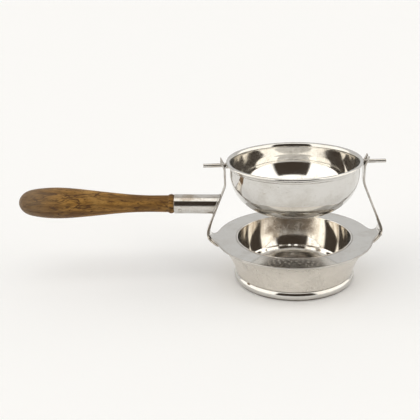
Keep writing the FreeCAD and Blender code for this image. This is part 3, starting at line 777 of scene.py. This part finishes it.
def tea_stain(place):
    """How much dried tea is at a place: high on the far wall, and in a patch on the floor."""
    x, y, z = place / MM
    on_wall = ramp(z, 12, 17) * ramp(y, 5, 22) * ramp(abs(x), 19, 12)
    on_floor = ramp(math.hypot(x, y - 2), 24, 10) * ramp(z, 7, 6)
    return 0.95 * on_wall + 0.8 * on_floor


add_grime(basin_mesh, [tea_stain(vertex.co) for vertex in basin_mesh.vertices])
basin = put_in_scene("spun_basin", basin_mesh)

# %% [markdown]
# ## Cut flat, then bent
#
# The flange and the uprights are sheet work: a maker saws the flat shape, softens its edge with
# a file, and only then bends it. The same order is the easy one here. A blank is filled with
# small triangles, gets rounded edges, and a bending rule says where each point of the flat
# shape ends up. Extruding an already bent outline would need awkward cuts at every curve.

# %% Fill a blank
def left_of(loop):
    """For each point of a loop, the direction square to it, to its left."""
    points = [Vector(p) for p in loop]
    result = []
    for k, here in enumerate(points):
        a = (here - points[k - 1]).normalized()
        b = (points[(k + 1) % len(points)] - here).normalized()
        along = (a + b).normalized()
        result.append(Vector((-along.y, along.x)) / max(0.5, along.dot(b)))
    return result


def inside(loops, points):
    """Which points lie inside the blank; a crossing count over all its loops."""
    odd = np.zeros(len(points), bool)
    for loop in loops:
        a = np.array(loop)
        b = np.roll(a, -1, axis=0)
        for (ax, ay), (bx, by) in zip(a, b):
            if ay == by:
                continue
            spans = (points[:, 1] < ay) != (points[:, 1] < by)
            crossing = ax + (points[:, 1] - ay) * (bx - ax) / (by - ay)
            odd ^= spans & (points[:, 0] < crossing)
    return odd


def fill_blank(loops, spacing):
    """Triangles for the flat face: its points, and its faces by number."""
    edge = np.array([p for loop in loops for p in loop])
    low, high = edge.min(0), edge.max(0)
    step_v = spacing * math.sqrt(3) / 2
    grid = np.array([(low[0] + (i + 0.5 * (j % 2)) * spacing, low[1] + j * step_v)
                     for i in range(int((high[0] - low[0]) / spacing) + 1)
                     for j in range(int((high[1] - low[1]) / step_v) + 1)])
    grid = grid[inside(loops, grid)]
    gap = np.full(len(grid), np.inf)
    for p in edge:
        gap = np.minimum(gap, np.hypot(*(grid - p).T))
    points = [Vector(p) for p in edge] + [Vector(p) for p in grid[gap > 0.55 * spacing]]
    fences, start = [], 0
    for loop in loops:
        count = len(loop)
        fences += [(start + k, start + (k + 1) % count) for k in range(count)]
        start += count
    found, _, faces, origins, _, _ = delaunay_2d_cdt(points, fences, [], 0, 1e-6)
    number = {k: origin[0] for k, origin in enumerate(origins)}
    middles = np.array([sum((found[k] for k in face), Vector((0, 0))) / 3 for face in faces])
    kept = inside(loops, middles)
    return points, [[number[k] for k in face] for face, keep in zip(faces, kept) if keep]

# %% [markdown]
# The sawn edge is built in rows. Each row is the outline again, moved in a little and lowered a
# little, so that the edge comes out round on both sides. Only then is every point bent. The
# piece also notes that its edge is dirtier than its faces, as sawn edges on old sheet are.

# %% Round the edges and bend
EDGE_GRIME = 0.45
EDGE_STEPS = 4


def cut_and_bend(loops, thickness, edge_r, spacing, bend, finish):
    """A sheet piece. The first loop runs anticlockwise and holes run clockwise; bend(u, v, depth)
    gives the place in millimetres of a point that lies depth below the upper face."""
    rounds = [math.pi / 2 * k / EDGE_STEPS for k in range(EDGE_STEPS + 1)]
    rows = [(edge_r * (1 - math.sin(t)), edge_r * (1 - math.cos(t))) for t in rounds]
    rows += [(inset, thickness - depth) for inset, depth in reversed(rows)]
    slants = [left_of(loop) for loop in loops]

    def moved_in(inset):
        return [[tuple(Vector(p) + n * inset) for p, n in zip(loop, normals)]
                for loop, normals in zip(loops, slants)]

    flat, triangles = fill_blank(moved_in(edge_r), spacing)
    count = len(flat)
    places = [bend(p[0], p[1], 0.0) for p in flat]
    places += [bend(p[0], p[1], thickness) for p in flat]
    faces = [list(t) for t in triangles] + [[k + count for k in reversed(t)] for t in triangles]
    row_starts = [0]
    for inset, depth in rows[1:-1]:
        row_starts.append(len(places))
        places += [bend(p[0], p[1], depth) for loop in moved_in(inset) for p in loop]
    row_starts.append(count)
    for upper, lower in zip(row_starts, row_starts[1:]):
        start = 0
        for loop in loops:
            for k in range(len(loop)):
                a, b = start + k, start + (k + 1) % len(loop)
                faces.append([upper + a, lower + a, lower + b, upper + b])
            start += len(loop)
    mesh = bpy.data.meshes.new("blank")
    mesh.from_pydata([p * MM for p in places], [], faces)
    rim_count = sum(len(loop) for loop in loops)
    inner = [k < 2 * count and k % count >= rim_count for k in range(len(places))]
    add_grime(mesh, [0.0 if on_a_face else EDGE_GRIME for on_a_face in inner])
    mesh.materials.append(finish)
    mesh.shade_smooth()
    return mesh


# %% [markdown]
# Ears and uprights are bent along one line, seen from the side: straight, curl, straight, and
# so on. A strip keeps those legs and says where a given length along the metal ends up. That
# is how a maker marks a bend: so far from the end, to such an angle, round such a former.

# %% Follow a bent strip
class Strip:
    """Side view of a bent strip: legs of (length, turn in degrees; left is positive), walked
    outwards from a start along X. Distances run along the face that is soldered."""

    def __init__(self, start, legs):
        self.legs = []
        point, heading, walked = Vector(start), 0.0, 0.0
        for length, turn in legs:
            self.legs.append((walked, length, point, heading, math.radians(turn)))
            point, heading = self.step(self.legs[-1], length)
            walked += length
        self.length = walked

    @staticmethod
    def step(leg, run):
        """Point and heading after a distance of run along a leg."""
        _, length, point, heading, turn = leg
        if turn == 0:
            return point + Vector((math.cos(heading), math.sin(heading))) * run, heading
        radius = length / turn
        ahead = heading + turn * run / length
        return point + radius * Vector((math.sin(ahead) - math.sin(heading),
                                        math.cos(heading) - math.cos(ahead))), ahead

    def at(self, distance, outwards=0.0):
        """Point (x, z) at a distance along the strip, moved off the soldered face."""
        leg = [l for l in self.legs if l[0] <= distance or l[0] == 0][-1]
        point, heading = self.step(leg, distance - leg[0])
        return point + Vector((math.sin(heading), -math.cos(heading))) * outwards

    def distance_at(self, height, outwards=0.0):
        """How far along the strip a height is reached, on its upright part."""
        low, high = self.legs[1][0] + self.legs[1][1] / 2, self.length
        for _ in range(40):
            middle = (low + high) / 2
            if self.at(middle, outwards).y < height:
                low = middle
            else:
                high = middle
        return middle

# %% [markdown]
# ## Flange with its two ears
#
# The flange is a flat ring. On each side its outline runs out into an ear with hollow flanks,
# and the tip of the ear curls up to lie against the upright that is soldered under it. In the
# flat, the ear is as wide as the hollow flanks leave it; on the curl it narrows to a leaf tip,
# which was filed thin until it blends into the upright.

# %% Shape the ears
EAR_BEND_X = 43.8                       # where ear and upright start to curl up
CURL_R = 4.6
LEAN = 22.0                             # degrees from upright on the long run
FLANK_R = 12.0
FLANK_Y = 2.6 + FLANK_R
FLANK_X = math.sqrt((FLANGE_R + FLANK_R) ** 2 - FLANK_Y ** 2)
FLANGE_T = 0.8
EAR_TIP_R = 0.9
EAR_THINNING = 0.75                     # share of the thickness filed away at the tip
CURL_LEG = (CURL_R * math.radians(90 + LEAN), 90 + LEAN)
ear_strip = Strip((0, FLANGE_UNDER), [(EAR_BEND_X, 0), CURL_LEG, (8, 0)])
ear_end = ear_strip.distance_at(flange_high.z)
ear_widths = [(25.2, 12.0), (26.2, 6.2), (28.5, 4.0), (31.0, 2.4), (33.2, EAR_TIP_R)]


def between(pairs, x):
    """Read a smooth value at x from a short list of (x, value) pairs."""
    xs, values = zip(*pairs)
    slopes = np.gradient(values, xs)
    k = int(np.clip(np.searchsorted(xs, x) - 1, 0, len(xs) - 2))
    width = xs[k + 1] - xs[k]
    t = min(1.0, max(0.0, (x - xs[k]) / width))
    start, end = values[k], values[k + 1]
    return ((1 + 2 * t) * (1 - t) ** 2 * start + t * (1 - t) ** 2 * width * slopes[k]
            + t * t * (3 - 2 * t) * end + t * t * (t - 1) * width * slopes[k + 1])


def flank(x, grow=0.0):
    """Half width that the hollow flanks leave at a distance x from the bowl's axis."""
    return FLANK_Y - math.sqrt((FLANK_R - grow) ** 2 - (x - FLANK_X) ** 2)


def ear_half(distance):
    point = ear_strip.at(distance)
    return min(flank(point.x), between(ear_widths, max(point.y, ear_widths[0][0])))


def ear_outline():
    """One ear in the flat, from its lower edge round the tip to its upper edge."""
    start = FLANGE_R * FLANK_X / (FLANGE_R + FLANK_R)
    tip = ear_end - EAR_TIP_R
    count = 26
    stations = [start + (tip - start) * k / count for k in range(count + 1)]
    lower = [(s, -ear_half(s)) for s in stations]
    upper = [(s, ear_half(s)) for s in reversed(stations)]
    last = ear_half(tip)
    cap = [(tip + EAR_TIP_R * math.cos(t), last * math.sin(t))
           for t in [math.radians(a) for a in (-60, -30, 0, 30, 60)]]
    return lower + cap + upper


def flange_bend(u, v, depth):
    """Flat inside the bends; beyond them the ears curl up and get thinner."""
    if abs(u) <= EAR_BEND_X:
        return Vector((u, v, FLANGE_UNDER + FLANGE_T - depth))
    reach = min(1.0, (abs(u) - EAR_BEND_X) / (ear_end - EAR_BEND_X))
    thin = 1 - EAR_THINNING * reach ** 2
    point = ear_strip.at(abs(u), (depth - FLANGE_T) * thin)
    return Vector((math.copysign(point.x, u), v, point.y))

# %% [markdown]
# The flange's outline is one loop: an ear, half the rim, the other ear, the other half. Its
# hole is cut to the basin, which is soldered into it.

# %% Cut the flange and curl up its ears
ear = ear_outline()
lift = math.degrees(math.asin(ear[-1][1] / FLANGE_R))
rim_arc = arc((0, 0), FLANGE_R, lift, 180 - lift, 110)[1:-1]
flange_loop = ear + rim_arc + [(-x, -y) for x, y in ear] + [(-x, -y) for x, y in rim_arc]
flange_hole = arc((0, 0), basin_high.x + 0.02, 360, 0, 180)[:-1]
flange_mesh = cut_and_bend([flange_loop, flange_hole], FLANGE_T, 0.22, 0.75, flange_bend,
                           flange_silver)
flange = put_in_scene("eared_flange", flange_mesh)

# %% [markdown]
# ## Uprights
#
# Each upright is one strip: a leaf-shaped foot under the ear, a curl, a long leaning run, a
# knee, and a short upright part that ends in an open fork whose prongs flare outwards, so the
# pin finds its seat when the bowl is put back. The left upright, which carries the handle, has
# the sharper knee.

# %% Measure out the uprights
UPRIGHT_T = 1.1
KNEES = {"right": 18.0, "left": 8.0}    # radius of each knee
TOP_X = 37.75                           # inner face below the fork
FLARE_Z = 64.6                          # where the prongs start to flare
FLARE_R = 7.0
FLARE = 28.0
TIP_RUN = 3.4
FOOT_PROUD = 0.3                        # how far the foot shows round the ear
LEAF_TIP = 4.8                          # half width where the leaf runs into the shank
SEAT_GAP = 0.1                          # room round the pin in its seat
SEAT_TOP = PIN_Z + 0.8                  # the slot is straight up to here
MOUTH_SPREAD = 0.13                     # how fast the slot widens above that
TIP_THINNING = 0.45
FOOT_START_R = skirt_top - 0.6          # the foot starts inside the skirt's wall
upright_widths = [(20.0, 11.0), (24.4, 9.0), (26.5, 5.2), (30.0, 3.4), (36.0, 2.0), (46.0, 1.7),
                  (56.0, 2.0), (61.5, 3.0), (66.0, 3.5), (74.0, 4.1)]


def upright_strip(knee_r):
    """The bent strip for a knee of that radius."""
    lean = math.radians(LEAN)
    start = Vector((EAR_BEND_X + CURL_R * math.cos(lean),
                    FLANGE_UNDER + CURL_R * (1 + math.sin(lean))))
    knee_x = TOP_X + knee_r * (1 - math.cos(lean))
    run = (start.x - knee_x) / math.sin(lean)
    knee_top = start.y + run * math.cos(lean) + knee_r * math.sin(lean)
    return Strip((0, FLANGE_UNDER), [
        (EAR_BEND_X, 0), CURL_LEG, (run, 0),
        (knee_r * lean, -LEAN), (FLARE_Z - knee_top, 0),
        (FLARE_R * math.radians(FLARE), -FLARE), (TIP_RUN, 0)])


def upright_half(strip, distance):
    """Half width of the strip at a distance along it."""
    point = strip.at(distance)
    width = between(upright_widths, point.y)
    if point.y < FLANGE_UNDER + 2 * UPRIGHT_T:
        width = min(width, max(flank(point.x, FOOT_PROUD), LEAF_TIP))
    return width


def slot_half(height):
    """Half width of the fork's slot above the pin's line."""
    return PIN_R + SEAT_GAP + MOUTH_SPREAD * max(0.0, height - SEAT_TOP)

# %% [markdown]
# In the flat, an upright is one closed loop: up one side of the shank, in and out of the slot,
# down the other side, and round the back of the foot.

# %% Draw an upright in the flat
def upright_outline(strip):
    """The strip in the flat: shank, fork and foot, as one closed loop."""
    count = 120
    stations = [EAR_BEND_X + (strip.length - EAR_BEND_X) * k / count for k in range(count + 1)]
    raw = [upright_half(strip, s) for s in stations]
    halves = [(a + 2 * b + c) / 4 for a, b, c in zip(raw[:1] + raw, raw, raw[1:] + raw[-1:])]
    lower = [(s, -w) for s, w in zip(stations, halves)]
    upper = [(s, w) for s, w in reversed(list(zip(stations, halves)))]
    top = strip.at(strip.length).y
    heights = [top + (PIN_Z - top) * k / 10 for k in range(11)]
    prong = [(strip.distance_at(z), slot_half(z)) for z in heights]
    seat = [(strip.distance_at(PIN_Z - slot_half(0) * math.sin(t)), slot_half(0) * math.cos(t))
            for t in [math.radians(15 * k) for k in range(1, 12)]]
    slot = prong + seat + [(s, -w) for s, w in reversed(prong)]
    corner = math.degrees(math.asin(halves[0] / FOOT_START_R))
    back = arc((0, 0), FOOT_START_R, corner, -corner, 24)
    return lower + [(s, -w) for s, w in slot] + upper + back

# %% [markdown]
# The fork is sawn straight through along the pin's line after bending, so in the fork both
# faces of the metal are matched by height, instead of being square to the leaning strip.

# %% Cut and bend the uprights
def upright_bend(strip, side):
    """Follow the strip; in the fork both faces are matched by height, and its tips get thinner."""
    fork_foot = FLARE_Z - 1
    tip = strip.at(strip.length).y

    def bend(s, v, depth):
        if s < EAR_BEND_X:
            return Vector((side * s, side * v, FLANGE_UNDER - depth))
        point = strip.at(s)
        if point.y > fork_foot:
            near_tip = min(1.0, max(0.0, (point.y - PIN_Z - 1) / (tip - PIN_Z - 1)))
            depth *= 1 - TIP_THINNING * near_tip
            level = strip.distance_at(point.y, depth)
            s += (min(level, strip.length) - s) * (1 - near_tip)
        point = strip.at(s, depth)
        return Vector((side * point.x, side * v, point.y))
    return bend


uprights = {}
for side, word in ((1, "right"), (-1, "left")):
    strip = upright_strip(KNEES[word])
    mesh = cut_and_bend([evenly(upright_outline(strip), 0.5, True)], UPRIGHT_T, 0.3, 0.5,
                        upright_bend(strip, side), strip_silver)
    uprights[word] = put_in_scene("bent_upright_" + word, mesh)

# %% [markdown]
# ## Tube, end plate and rivet
#
# The handle's tube is rolled, cut to the slant of the left upright and closed by a thin plate
# that is soldered to it. All three pieces are turned straight first; then the lower end is slid
# along the handle's line until it meets the slanting face, which is just what the saw did.

# %% Find the handle's line and the slanting face
MOUTH_X = -67.3                         # where the wood comes out of the tube
MOUTH_Z = 44.9 + 19.3 * math.tan(HANDLE_RISE)
HANDLE_MOUTH = Vector((MOUTH_X, 0, MOUTH_Z))
TUBE_R = 5.5
TUBE_WALL = 0.5
PLATE_R = 5.75
PLATE_T = 0.9
handle_line = Vector((-math.cos(HANDLE_RISE), 0, math.sin(HANDLE_RISE)))
to_handle = UP.rotation_difference(handle_line).to_matrix()
left_strip = upright_strip(KNEES["left"])
long_run = left_strip.legs[2]
face_point = left_strip.at(long_run[0] + long_run[1] / 2, UPRIGHT_T)
face_normal = Vector((-math.cos(math.radians(LEAN)), 0, math.sin(math.radians(LEAN))))
face_start = Vector((-face_point.x, 0, face_point.y))


def to_face(x, y, gap):
    """How far along the handle's line the slanting face is, at (x, y) off that line."""
    beside = HANDLE_MOUTH + to_handle @ Vector((x, y, 0))
    return ((face_start - beside).dot(face_normal) + gap) / handle_line.dot(face_normal)


print("tube from its mouth to the upright: %.1f mm" % -to_face(0, 0, PLATE_T))


def lay_on_handle(mesh, reshape=None):
    """Place a piece turned on Z on the handle's line; reshape may move its points first."""
    for vertex in mesh.vertices:
        local = vertex.co / MM
        if reshape:
            local = reshape(local)
        vertex.co = (HANDLE_MOUTH + to_handle @ local) * MM
    mesh.update()
    return mesh


# %% Tube and end plate
TUBE_L = 20.0


def slanted_tube(p):
    """Stretch the tube's lower end until it meets the plate."""
    share = -p.z / TUBE_L
    return Vector((p.x, p.y, share * to_face(p.x, p.y, PLATE_T)))


def slanted_plate(p):
    """Slide each point of the plate until the plate lies on the upright."""
    return Vector((p.x, p.y, to_face(p.x, p.y, p.z)))


bore = TUBE_R - TUBE_WALL
tube_section = [(bore, -TUBE_L), (TUBE_R, -TUBE_L), (TUBE_R, 0), (bore, 0)]
tube_mesh = lay_on_handle(turn(section(tube_section, 0.18, 0.8), tube_silver, 128), slanted_tube)
tube = put_in_scene("handle_tube", tube_mesh)
plate_chain = [(0, 0), (PLATE_R, 0), (PLATE_R, PLATE_T), (0, PLATE_T)]
plate_mesh = turn(evenly(soften(plate_chain, 0.3), 0.8), tube_silver, 128)
end_plate = put_in_scene("tube_end_plate", lay_on_handle(plate_mesh, slanted_plate))

# %% Rivet
RIVET_BACK = 3.4                        # how far the rivet is from the tube's mouth
RIVET_DROP = math.radians(25)           # below level, on the front
RIVET_R = 1.25
RIVET_DOME = 0.25                       # how far a head stands proud of the tube
HEAD_H = 0.45
rivet_axis = Vector((0, -math.cos(RIVET_DROP), -math.sin(RIVET_DROP)))
rivet_middle = HANDLE_MOUTH - handle_line * RIVET_BACK
reach = TUBE_R + RIVET_DOME
dome = [(RIVET_R * math.sin(t), reach - HEAD_H + HEAD_H * math.cos(t)) for t in
        [math.radians(a) for a in range(90, -1, -10)]]
rivet_outline = [(r, -z) for r, z in reversed(dome)] + dome
rivet_mesh = turn(evenly(rivet_outline, 0.6), tube_silver, 40)
lay = UP.rotation_difference(rivet_axis).to_matrix()
for vertex in rivet_mesh.vertices:
    vertex.co = rivet_middle * MM + lay @ vertex.co
rivet_mesh.update()
off_axis = [(v.co / MM - rivet_middle).cross(rivet_axis).length for v in rivet_mesh.vertices]
add_grime(rivet_mesh, [1.3 * (r > 0.8 * RIVET_R) for r in off_axis])       # a dark ring round it
rivet = put_in_scene("tube_rivet", rivet_mesh)

# %% [markdown]
# ## The wooden handle
#
# The handle is turned: a tenon in the tube, a small bead, a slim neck and a full egg-shaped
# end. The belly's outline is one flowing curve through a few points, solved like a thin spring
# held at those points. Then hand work: a century of knocks. Every mark is a small hollow with
# its place along the handle, its place round it, its size and its depth, pressed into the real
# surface, and the same numbers darken the wood there.

# %% Turn the handle
def flow(points, first, last, steps):
    """A smooth curve through points, leaving along first and arriving along last."""
    p = np.array(points, float)
    gaps = np.hypot(*np.diff(p, axis=0).T)
    n = len(p)
    system, known = np.zeros((n, n)), np.zeros((n, 2))
    system[0, 0] = system[-1, -1] = 1
    known[0], known[-1] = first, last
    for k in range(1, n - 1):
        a, b = gaps[k - 1], gaps[k]
        system[k, k - 1:k + 2] = b, 2 * (a + b), a
        known[k] = 3 * (b * (p[k] - p[k - 1]) / a + a * (p[k + 1] - p[k]) / b)
    slopes = np.linalg.solve(system, known)
    result = [tuple(p[0])]
    for k in range(n - 1):
        for j in range(1, steps + 1):
            t, g = j / steps, gaps[k]
            place = ((1 + 2 * t) * (1 - t) ** 2 * p[k] + t * (1 - t) ** 2 * g * slopes[k]
                     + t * t * (3 - 2 * t) * p[k + 1] + t * t * (t - 1) * g * slopes[k + 1])
            result.append(tuple(place))
    return result


TENON_R = 4.95
TENON_L = 16.0
bead = arc_through((5.1, 0.35), (5.55, 1.9), (4.9, 3.4), 12)
belly = flow([(4.85, 3.5), (4.75, 12.5), (5.6, 30.0), (7.7, 50.0), (8.8, 67.0), (7.9, 78.5),
              (5.4, 85.5), (0.0, 88.4)], (0, 1), (-1, 0), 24)
handle_outline = [(0, -TENON_L), (TENON_R, -TENON_L), (TENON_R, 0.0)] + bead + belly
wood = old_wood("oiled wood", HANDLE_MOUTH)
handle_mesh = turn(evenly(soften(handle_outline, 0.3), 0.42), wood, 168)
print("handle with its tenon: %.1f mm long" % (belly[-1][1] + TENON_L))

# %% Wear the handle
# each mark: along, round (degrees up from the front), half length, half width, lean, depth
marks = [(38.6, 60, 1.0, 0.5, 0, 0.45), (15.0, 18, 0.45, 0.45, 0, 0.7),
         (39.6, -12, 1.9, 0.3, 50, 0.35), (64.0, 16, 2.1, 0.22, 84, 0.3),
         (4.0, 15, 3.4, 0.2, 3, 0.35), (30.0, 40, 2.6, 0.22, -8, 0.2),
         (52.0, -25, 1.0, 0.5, 10, 0.3), (72.0, 30, 0.8, 0.4, 30, 0.25),
         (46.0, 160, 1.2, 0.5, 20, 0.35), (20.0, 200, 0.8, 0.35, 0, 0.3),
         (60.0, 230, 2.0, 0.25, 60, 0.25), (78.0, 120, 0.9, 0.5, 0, 0.3)]
chance = random.Random(7)
for _ in range(34):
    marks.append((chance.uniform(6, 84), chance.uniform(0, 360), chance.uniform(0.3, 0.9),
                  chance.uniform(0.12, 0.28), chance.uniform(-12, 12), chance.uniform(0.06, 0.18)))


def press_marks(mesh):
    """Push marks into a handle turned on Z, and note them in the attribute 'worn'."""
    note = mesh.attributes.new("worn", "FLOAT", "POINT")
    for vertex, mark_note in zip(mesh.vertices, note.data):
        p = vertex.co / MM
        radius = math.hypot(p.x, p.y)
        if radius < 0.5 or p.z < 0.2:
            continue
        out = Vector((p.x, p.y, 0)) / radius
        round_deg = math.degrees(math.atan2(-p.x, p.y))
        uneven = 0.10 * noise.noise(Vector((p.x, p.y, p.z * 0.35)) * 0.16)
        uneven += 0.035 * noise.noise(Vector((p.x * 1.3, p.y * 1.3, p.z * 0.25)))
        worn = 0.0
        for along, turned_by, half_l, half_w, lean, depth in marks:
            du = p.z - along
            if abs(du) > half_l + half_w:
                continue
            dv = (round_deg - turned_by + 180) % 360 - 180
            dv = math.radians(dv) * radius
            c, s = math.cos(math.radians(lean)), math.sin(math.radians(lean))
            q = ((du * c - dv * s) / half_l) ** 2 + ((du * s + dv * c) / half_w) ** 2
            if q < 1:
                uneven -= depth * (1 - q) ** 1.5
                worn = max(worn, (1 - q) * min(1.0, depth / 0.3))
        mark_note.value = worn
        vertex.co = (p + out * (uneven - 0.05)) * MM
    mesh.update()
    return mesh


handle = put_in_scene("oiled_handle", lay_on_handle(press_marks(handle_mesh)))

# %% [markdown]
# ## Everything gets its place
#
# Each piece now hides the plain piece it stands for and rides on the body that moves it: the
# stand keeps still, the pins lift straight out of the forks, and the bowl swings on the pins.

# %% Hand the pieces over
pieces = [
    (bowl, "strainer", "silver_bowl", ["strainer_bowl"]),
    (rim, "strainer", "silver_bowl", ["rim_wire"]),
    (band, "strainer", "silver_bowl", ["rim_band"]),
    (side_pieces["pin_boss_left"], "strainer", "silver_bowl", ["pin_boss_left"]),
    (side_pieces["pin_boss_right"], "strainer", "silver_bowl", ["pin_boss_right"]),
    (side_pieces["pin_left"], "pins", "silver_pins", ["pin_left"]),
    (side_pieces["pin_right"], "pins", "silver_pins", ["pin_right"]),
    (flange, "stand", "silver_stand", ["flange_plate"]),
    (skirt, "stand", "silver_stand", ["skirt"]),
    (foot, "stand", "silver_stand", ["foot_ring"]),
    (basin, "stand", "silver_basin", ["drip_basin"]),
    (uprights["left"], "stand", "silver_uprights", ["upright_left"]),
    (uprights["right"], "stand", "silver_uprights", ["upright_right"]),
    (tube, "stand", "silver_ferrule", ["handle_ferrule"]),
    (end_plate, "stand", "silver_ferrule", ["ferrule_end_plate"]),
    (rivet, "stand", "silver_ferrule", ["ferrule_rivet"]),
    (handle, "stand", "turned_wood", ["wooden_handle"]),
]
for piece, body, slot, nodes in pieces:
    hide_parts(*nodes)
    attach(piece, body)
print("pieces:", len(pieces))

# %% [markdown]
# ## Floor, light and camera
#
# Polished metal has almost no colour of its own: it shows the room. In a product studio the
# room is a tent of soft warm-white panels with gaps between them, and it is the dark gaps that
# draw the shape of a bowl. The panels are made here as a sky of soft-edged patches, so there
# are no hot spots. The floor is a plain pale sheet that runs out of view in every direction.
# All of this belongs to the stage and not to the strainer.

# %% Floor
def matt(name, colour, roughness, shine):
    """An even finish for paper and cloth."""
    finish = bpy.data.materials.new(name)
    finish.use_nodes = True
    shader = finish.node_tree.nodes["Principled BSDF"]
    shader.inputs["Base Color"].default_value = colour
    shader.inputs["Roughness"].default_value = roughness
    shader.inputs["Specular IOR Level"].default_value = shine
    return finish


def lay_sheet(name, corners, finish):
    """A flat sheet on the stage, through its corners in metres."""
    mesh = bpy.data.meshes.new(name)
    mesh.from_pydata(corners, [], [list(range(len(corners)))])
    mesh.materials.append(finish)
    flat = bpy.data.objects.new(name, mesh)
    bpy.context.scene.collection.objects.link(flat)
    return flat


FLOOR_R = 6.0                           # metres, as is all of the stage
paper = matt("matt paper", (0.955, 0.965, 0.985, 1.0), 0.9, 0.1)
floor_ring = [(FLOOR_R * math.cos(t), FLOOR_R * math.sin(t), 0.0)
              for t in [2 * math.pi * k / 96 for k in range(96)]]
lay_sheet("pale_floor", floor_ring, paper)
print("floor: %.0f m across" % (2 * FLOOR_R))

# %% Sky of soft panels
FAR_PAPER = (0.902, 0.886, 0.862)       # what the eye sees beyond the floor's far edge
PANEL = (1.50, 1.45, 1.35)
TOP_PANEL = (1.35, 1.32, 1.26)
BACK_WALL = (0.66, 0.655, 0.645)
DARK_GAP = (0.045, 0.034, 0.025)


def studio_sky(base, panels, strength):
    """A sky for the world: a base colour and soft patches, one over another.

    Each patch has a bearing in degrees (0 is towards the viewer, 90 to the right), a height
    above the floor, half sizes, the softness of its edge and a colour. Seen directly, and not
    in a reflection, the sky is one plain tone, like the floor."""
    world = bpy.data.worlds.new("studio tent")
    bpy.context.scene.world = world
    world.use_nodes = True
    tree = world.node_tree
    ray = add(tree, "ShaderNodeTexCoord").outputs["Generated"]
    axes = add(tree, "ShaderNodeSeparateXYZ", {"Vector": ray})
    bearing = calculate(tree, "ARCTAN2", axes.outputs[0], calculate(
        tree, "MULTIPLY", axes.outputs[1], -1.0))
    height = calculate(tree, "ARCSINE", axes.outputs[2])
    colour = (*base, 1.0)
    for turn_to, lift, half_wide, half_high, soft, tint in panels:
        aside = calculate(tree, "SUBTRACT", bearing, math.radians(turn_to))
        aside = calculate(tree, "ABSOLUTE", calculate(tree, "WRAP", aside, math.pi, -math.pi))
        above = calculate(tree, "SUBTRACT", height, math.radians(lift))
        above = calculate(tree, "ABSOLUTE", above)
        wide = fade(tree, aside, math.radians(half_wide + soft), math.radians(half_wide - soft))
        high = fade(tree, above, math.radians(half_high + soft), math.radians(half_high - soft))
        colour = blend_colours(tree, calculate(tree, "MULTIPLY", wide, high), colour, (*tint, 1.0))
    seen = add(tree, "ShaderNodeLightPath").outputs["Is Camera Ray"]
    colour = blend_colours(tree, seen, colour, (*FAR_PAPER, 1.0))
    light = tree.nodes["Background"]
    light.inputs["Strength"].default_value = strength
    tree.links.new(colour, light.inputs["Color"])


studio_sky((0.62, 0.61, 0.59), [
    (180, 20, 75, 34, 8, BACK_WALL),
    (-79, 18, 43, 34, 3, PANEL),
    (78, 18, 40, 34, 3, PANEL),
    (0, 78, 90, 28, 4, TOP_PANEL),
    (-1, 18, 36, 32, 3, DARK_GAP),
], 1.07)
print("sky nodes:", len(bpy.context.scene.world.node_tree.nodes))

# %% [markdown]
# The dark gap between the front panels goes on below them as a dark cloth, which ends just
# short of the strainer. Bowl and basin show it as the dark block in their middle, and the foot
# as its dark band. Only reflections need it, so the cloth is hidden from the camera, and it
# neither dims the floor nor throws a shadow.

# %% A dark card
CARD_NEAR, CARD_FAR, CARD_HALF, CARD_LIFT = 0.27, 1.6, 0.55, 0.001
cloth = matt("dark cloth", (0.03, 0.026, 0.022, 1.0), 1.0, 0.0)
card = lay_sheet("dark_card", [
    (-CARD_HALF, -CARD_FAR, CARD_LIFT), (CARD_HALF, -CARD_FAR, CARD_LIFT),
    (CARD_HALF, -CARD_NEAR, CARD_LIFT), (-CARD_HALF, -CARD_NEAR, CARD_LIFT)], cloth)
card.visible_camera = False
card.visible_diffuse = False
card.visible_shadow = False
print("dark cloth: %.2f by %.2f m" % (2 * CARD_HALF, CARD_FAR - CARD_NEAR))

# %% [markdown]
# The camera stands a little to the left, as near as a hand would hold the strainer, and looks
# down about twenty degrees with a slight roll. The Standard view keeps white paper white: the
# film-like one would grey it.

# %% Camera
EYE = (-0.0322956, -0.3555534, 0.1711238)
turn_right, look_down, roll = math.radians(-2.4201), math.radians(20.0531), math.radians(-2.3290)
camera_data = bpy.data.cameras.new("camera")
camera_data.lens = 57.3
camera_data.sensor_width = 36.0
camera = bpy.data.objects.new("camera", camera_data)
bpy.context.scene.collection.objects.link(camera)
camera.location = EYE
camera.rotation_euler = (Matrix.Rotation(-turn_right, 3, "Z")
                         @ Matrix.Rotation(math.pi / 2 - look_down, 3, "X")
                         @ Matrix.Rotation(roll, 3, "Z")).to_euler()
bpy.context.scene.camera = camera
bpy.context.scene.view_settings.view_transform = "Standard"
print("from the eye to the bowl's rim: %.2f m" % (Vector(EYE) - Vector((0, 0, PIN_Z * MM))).length)
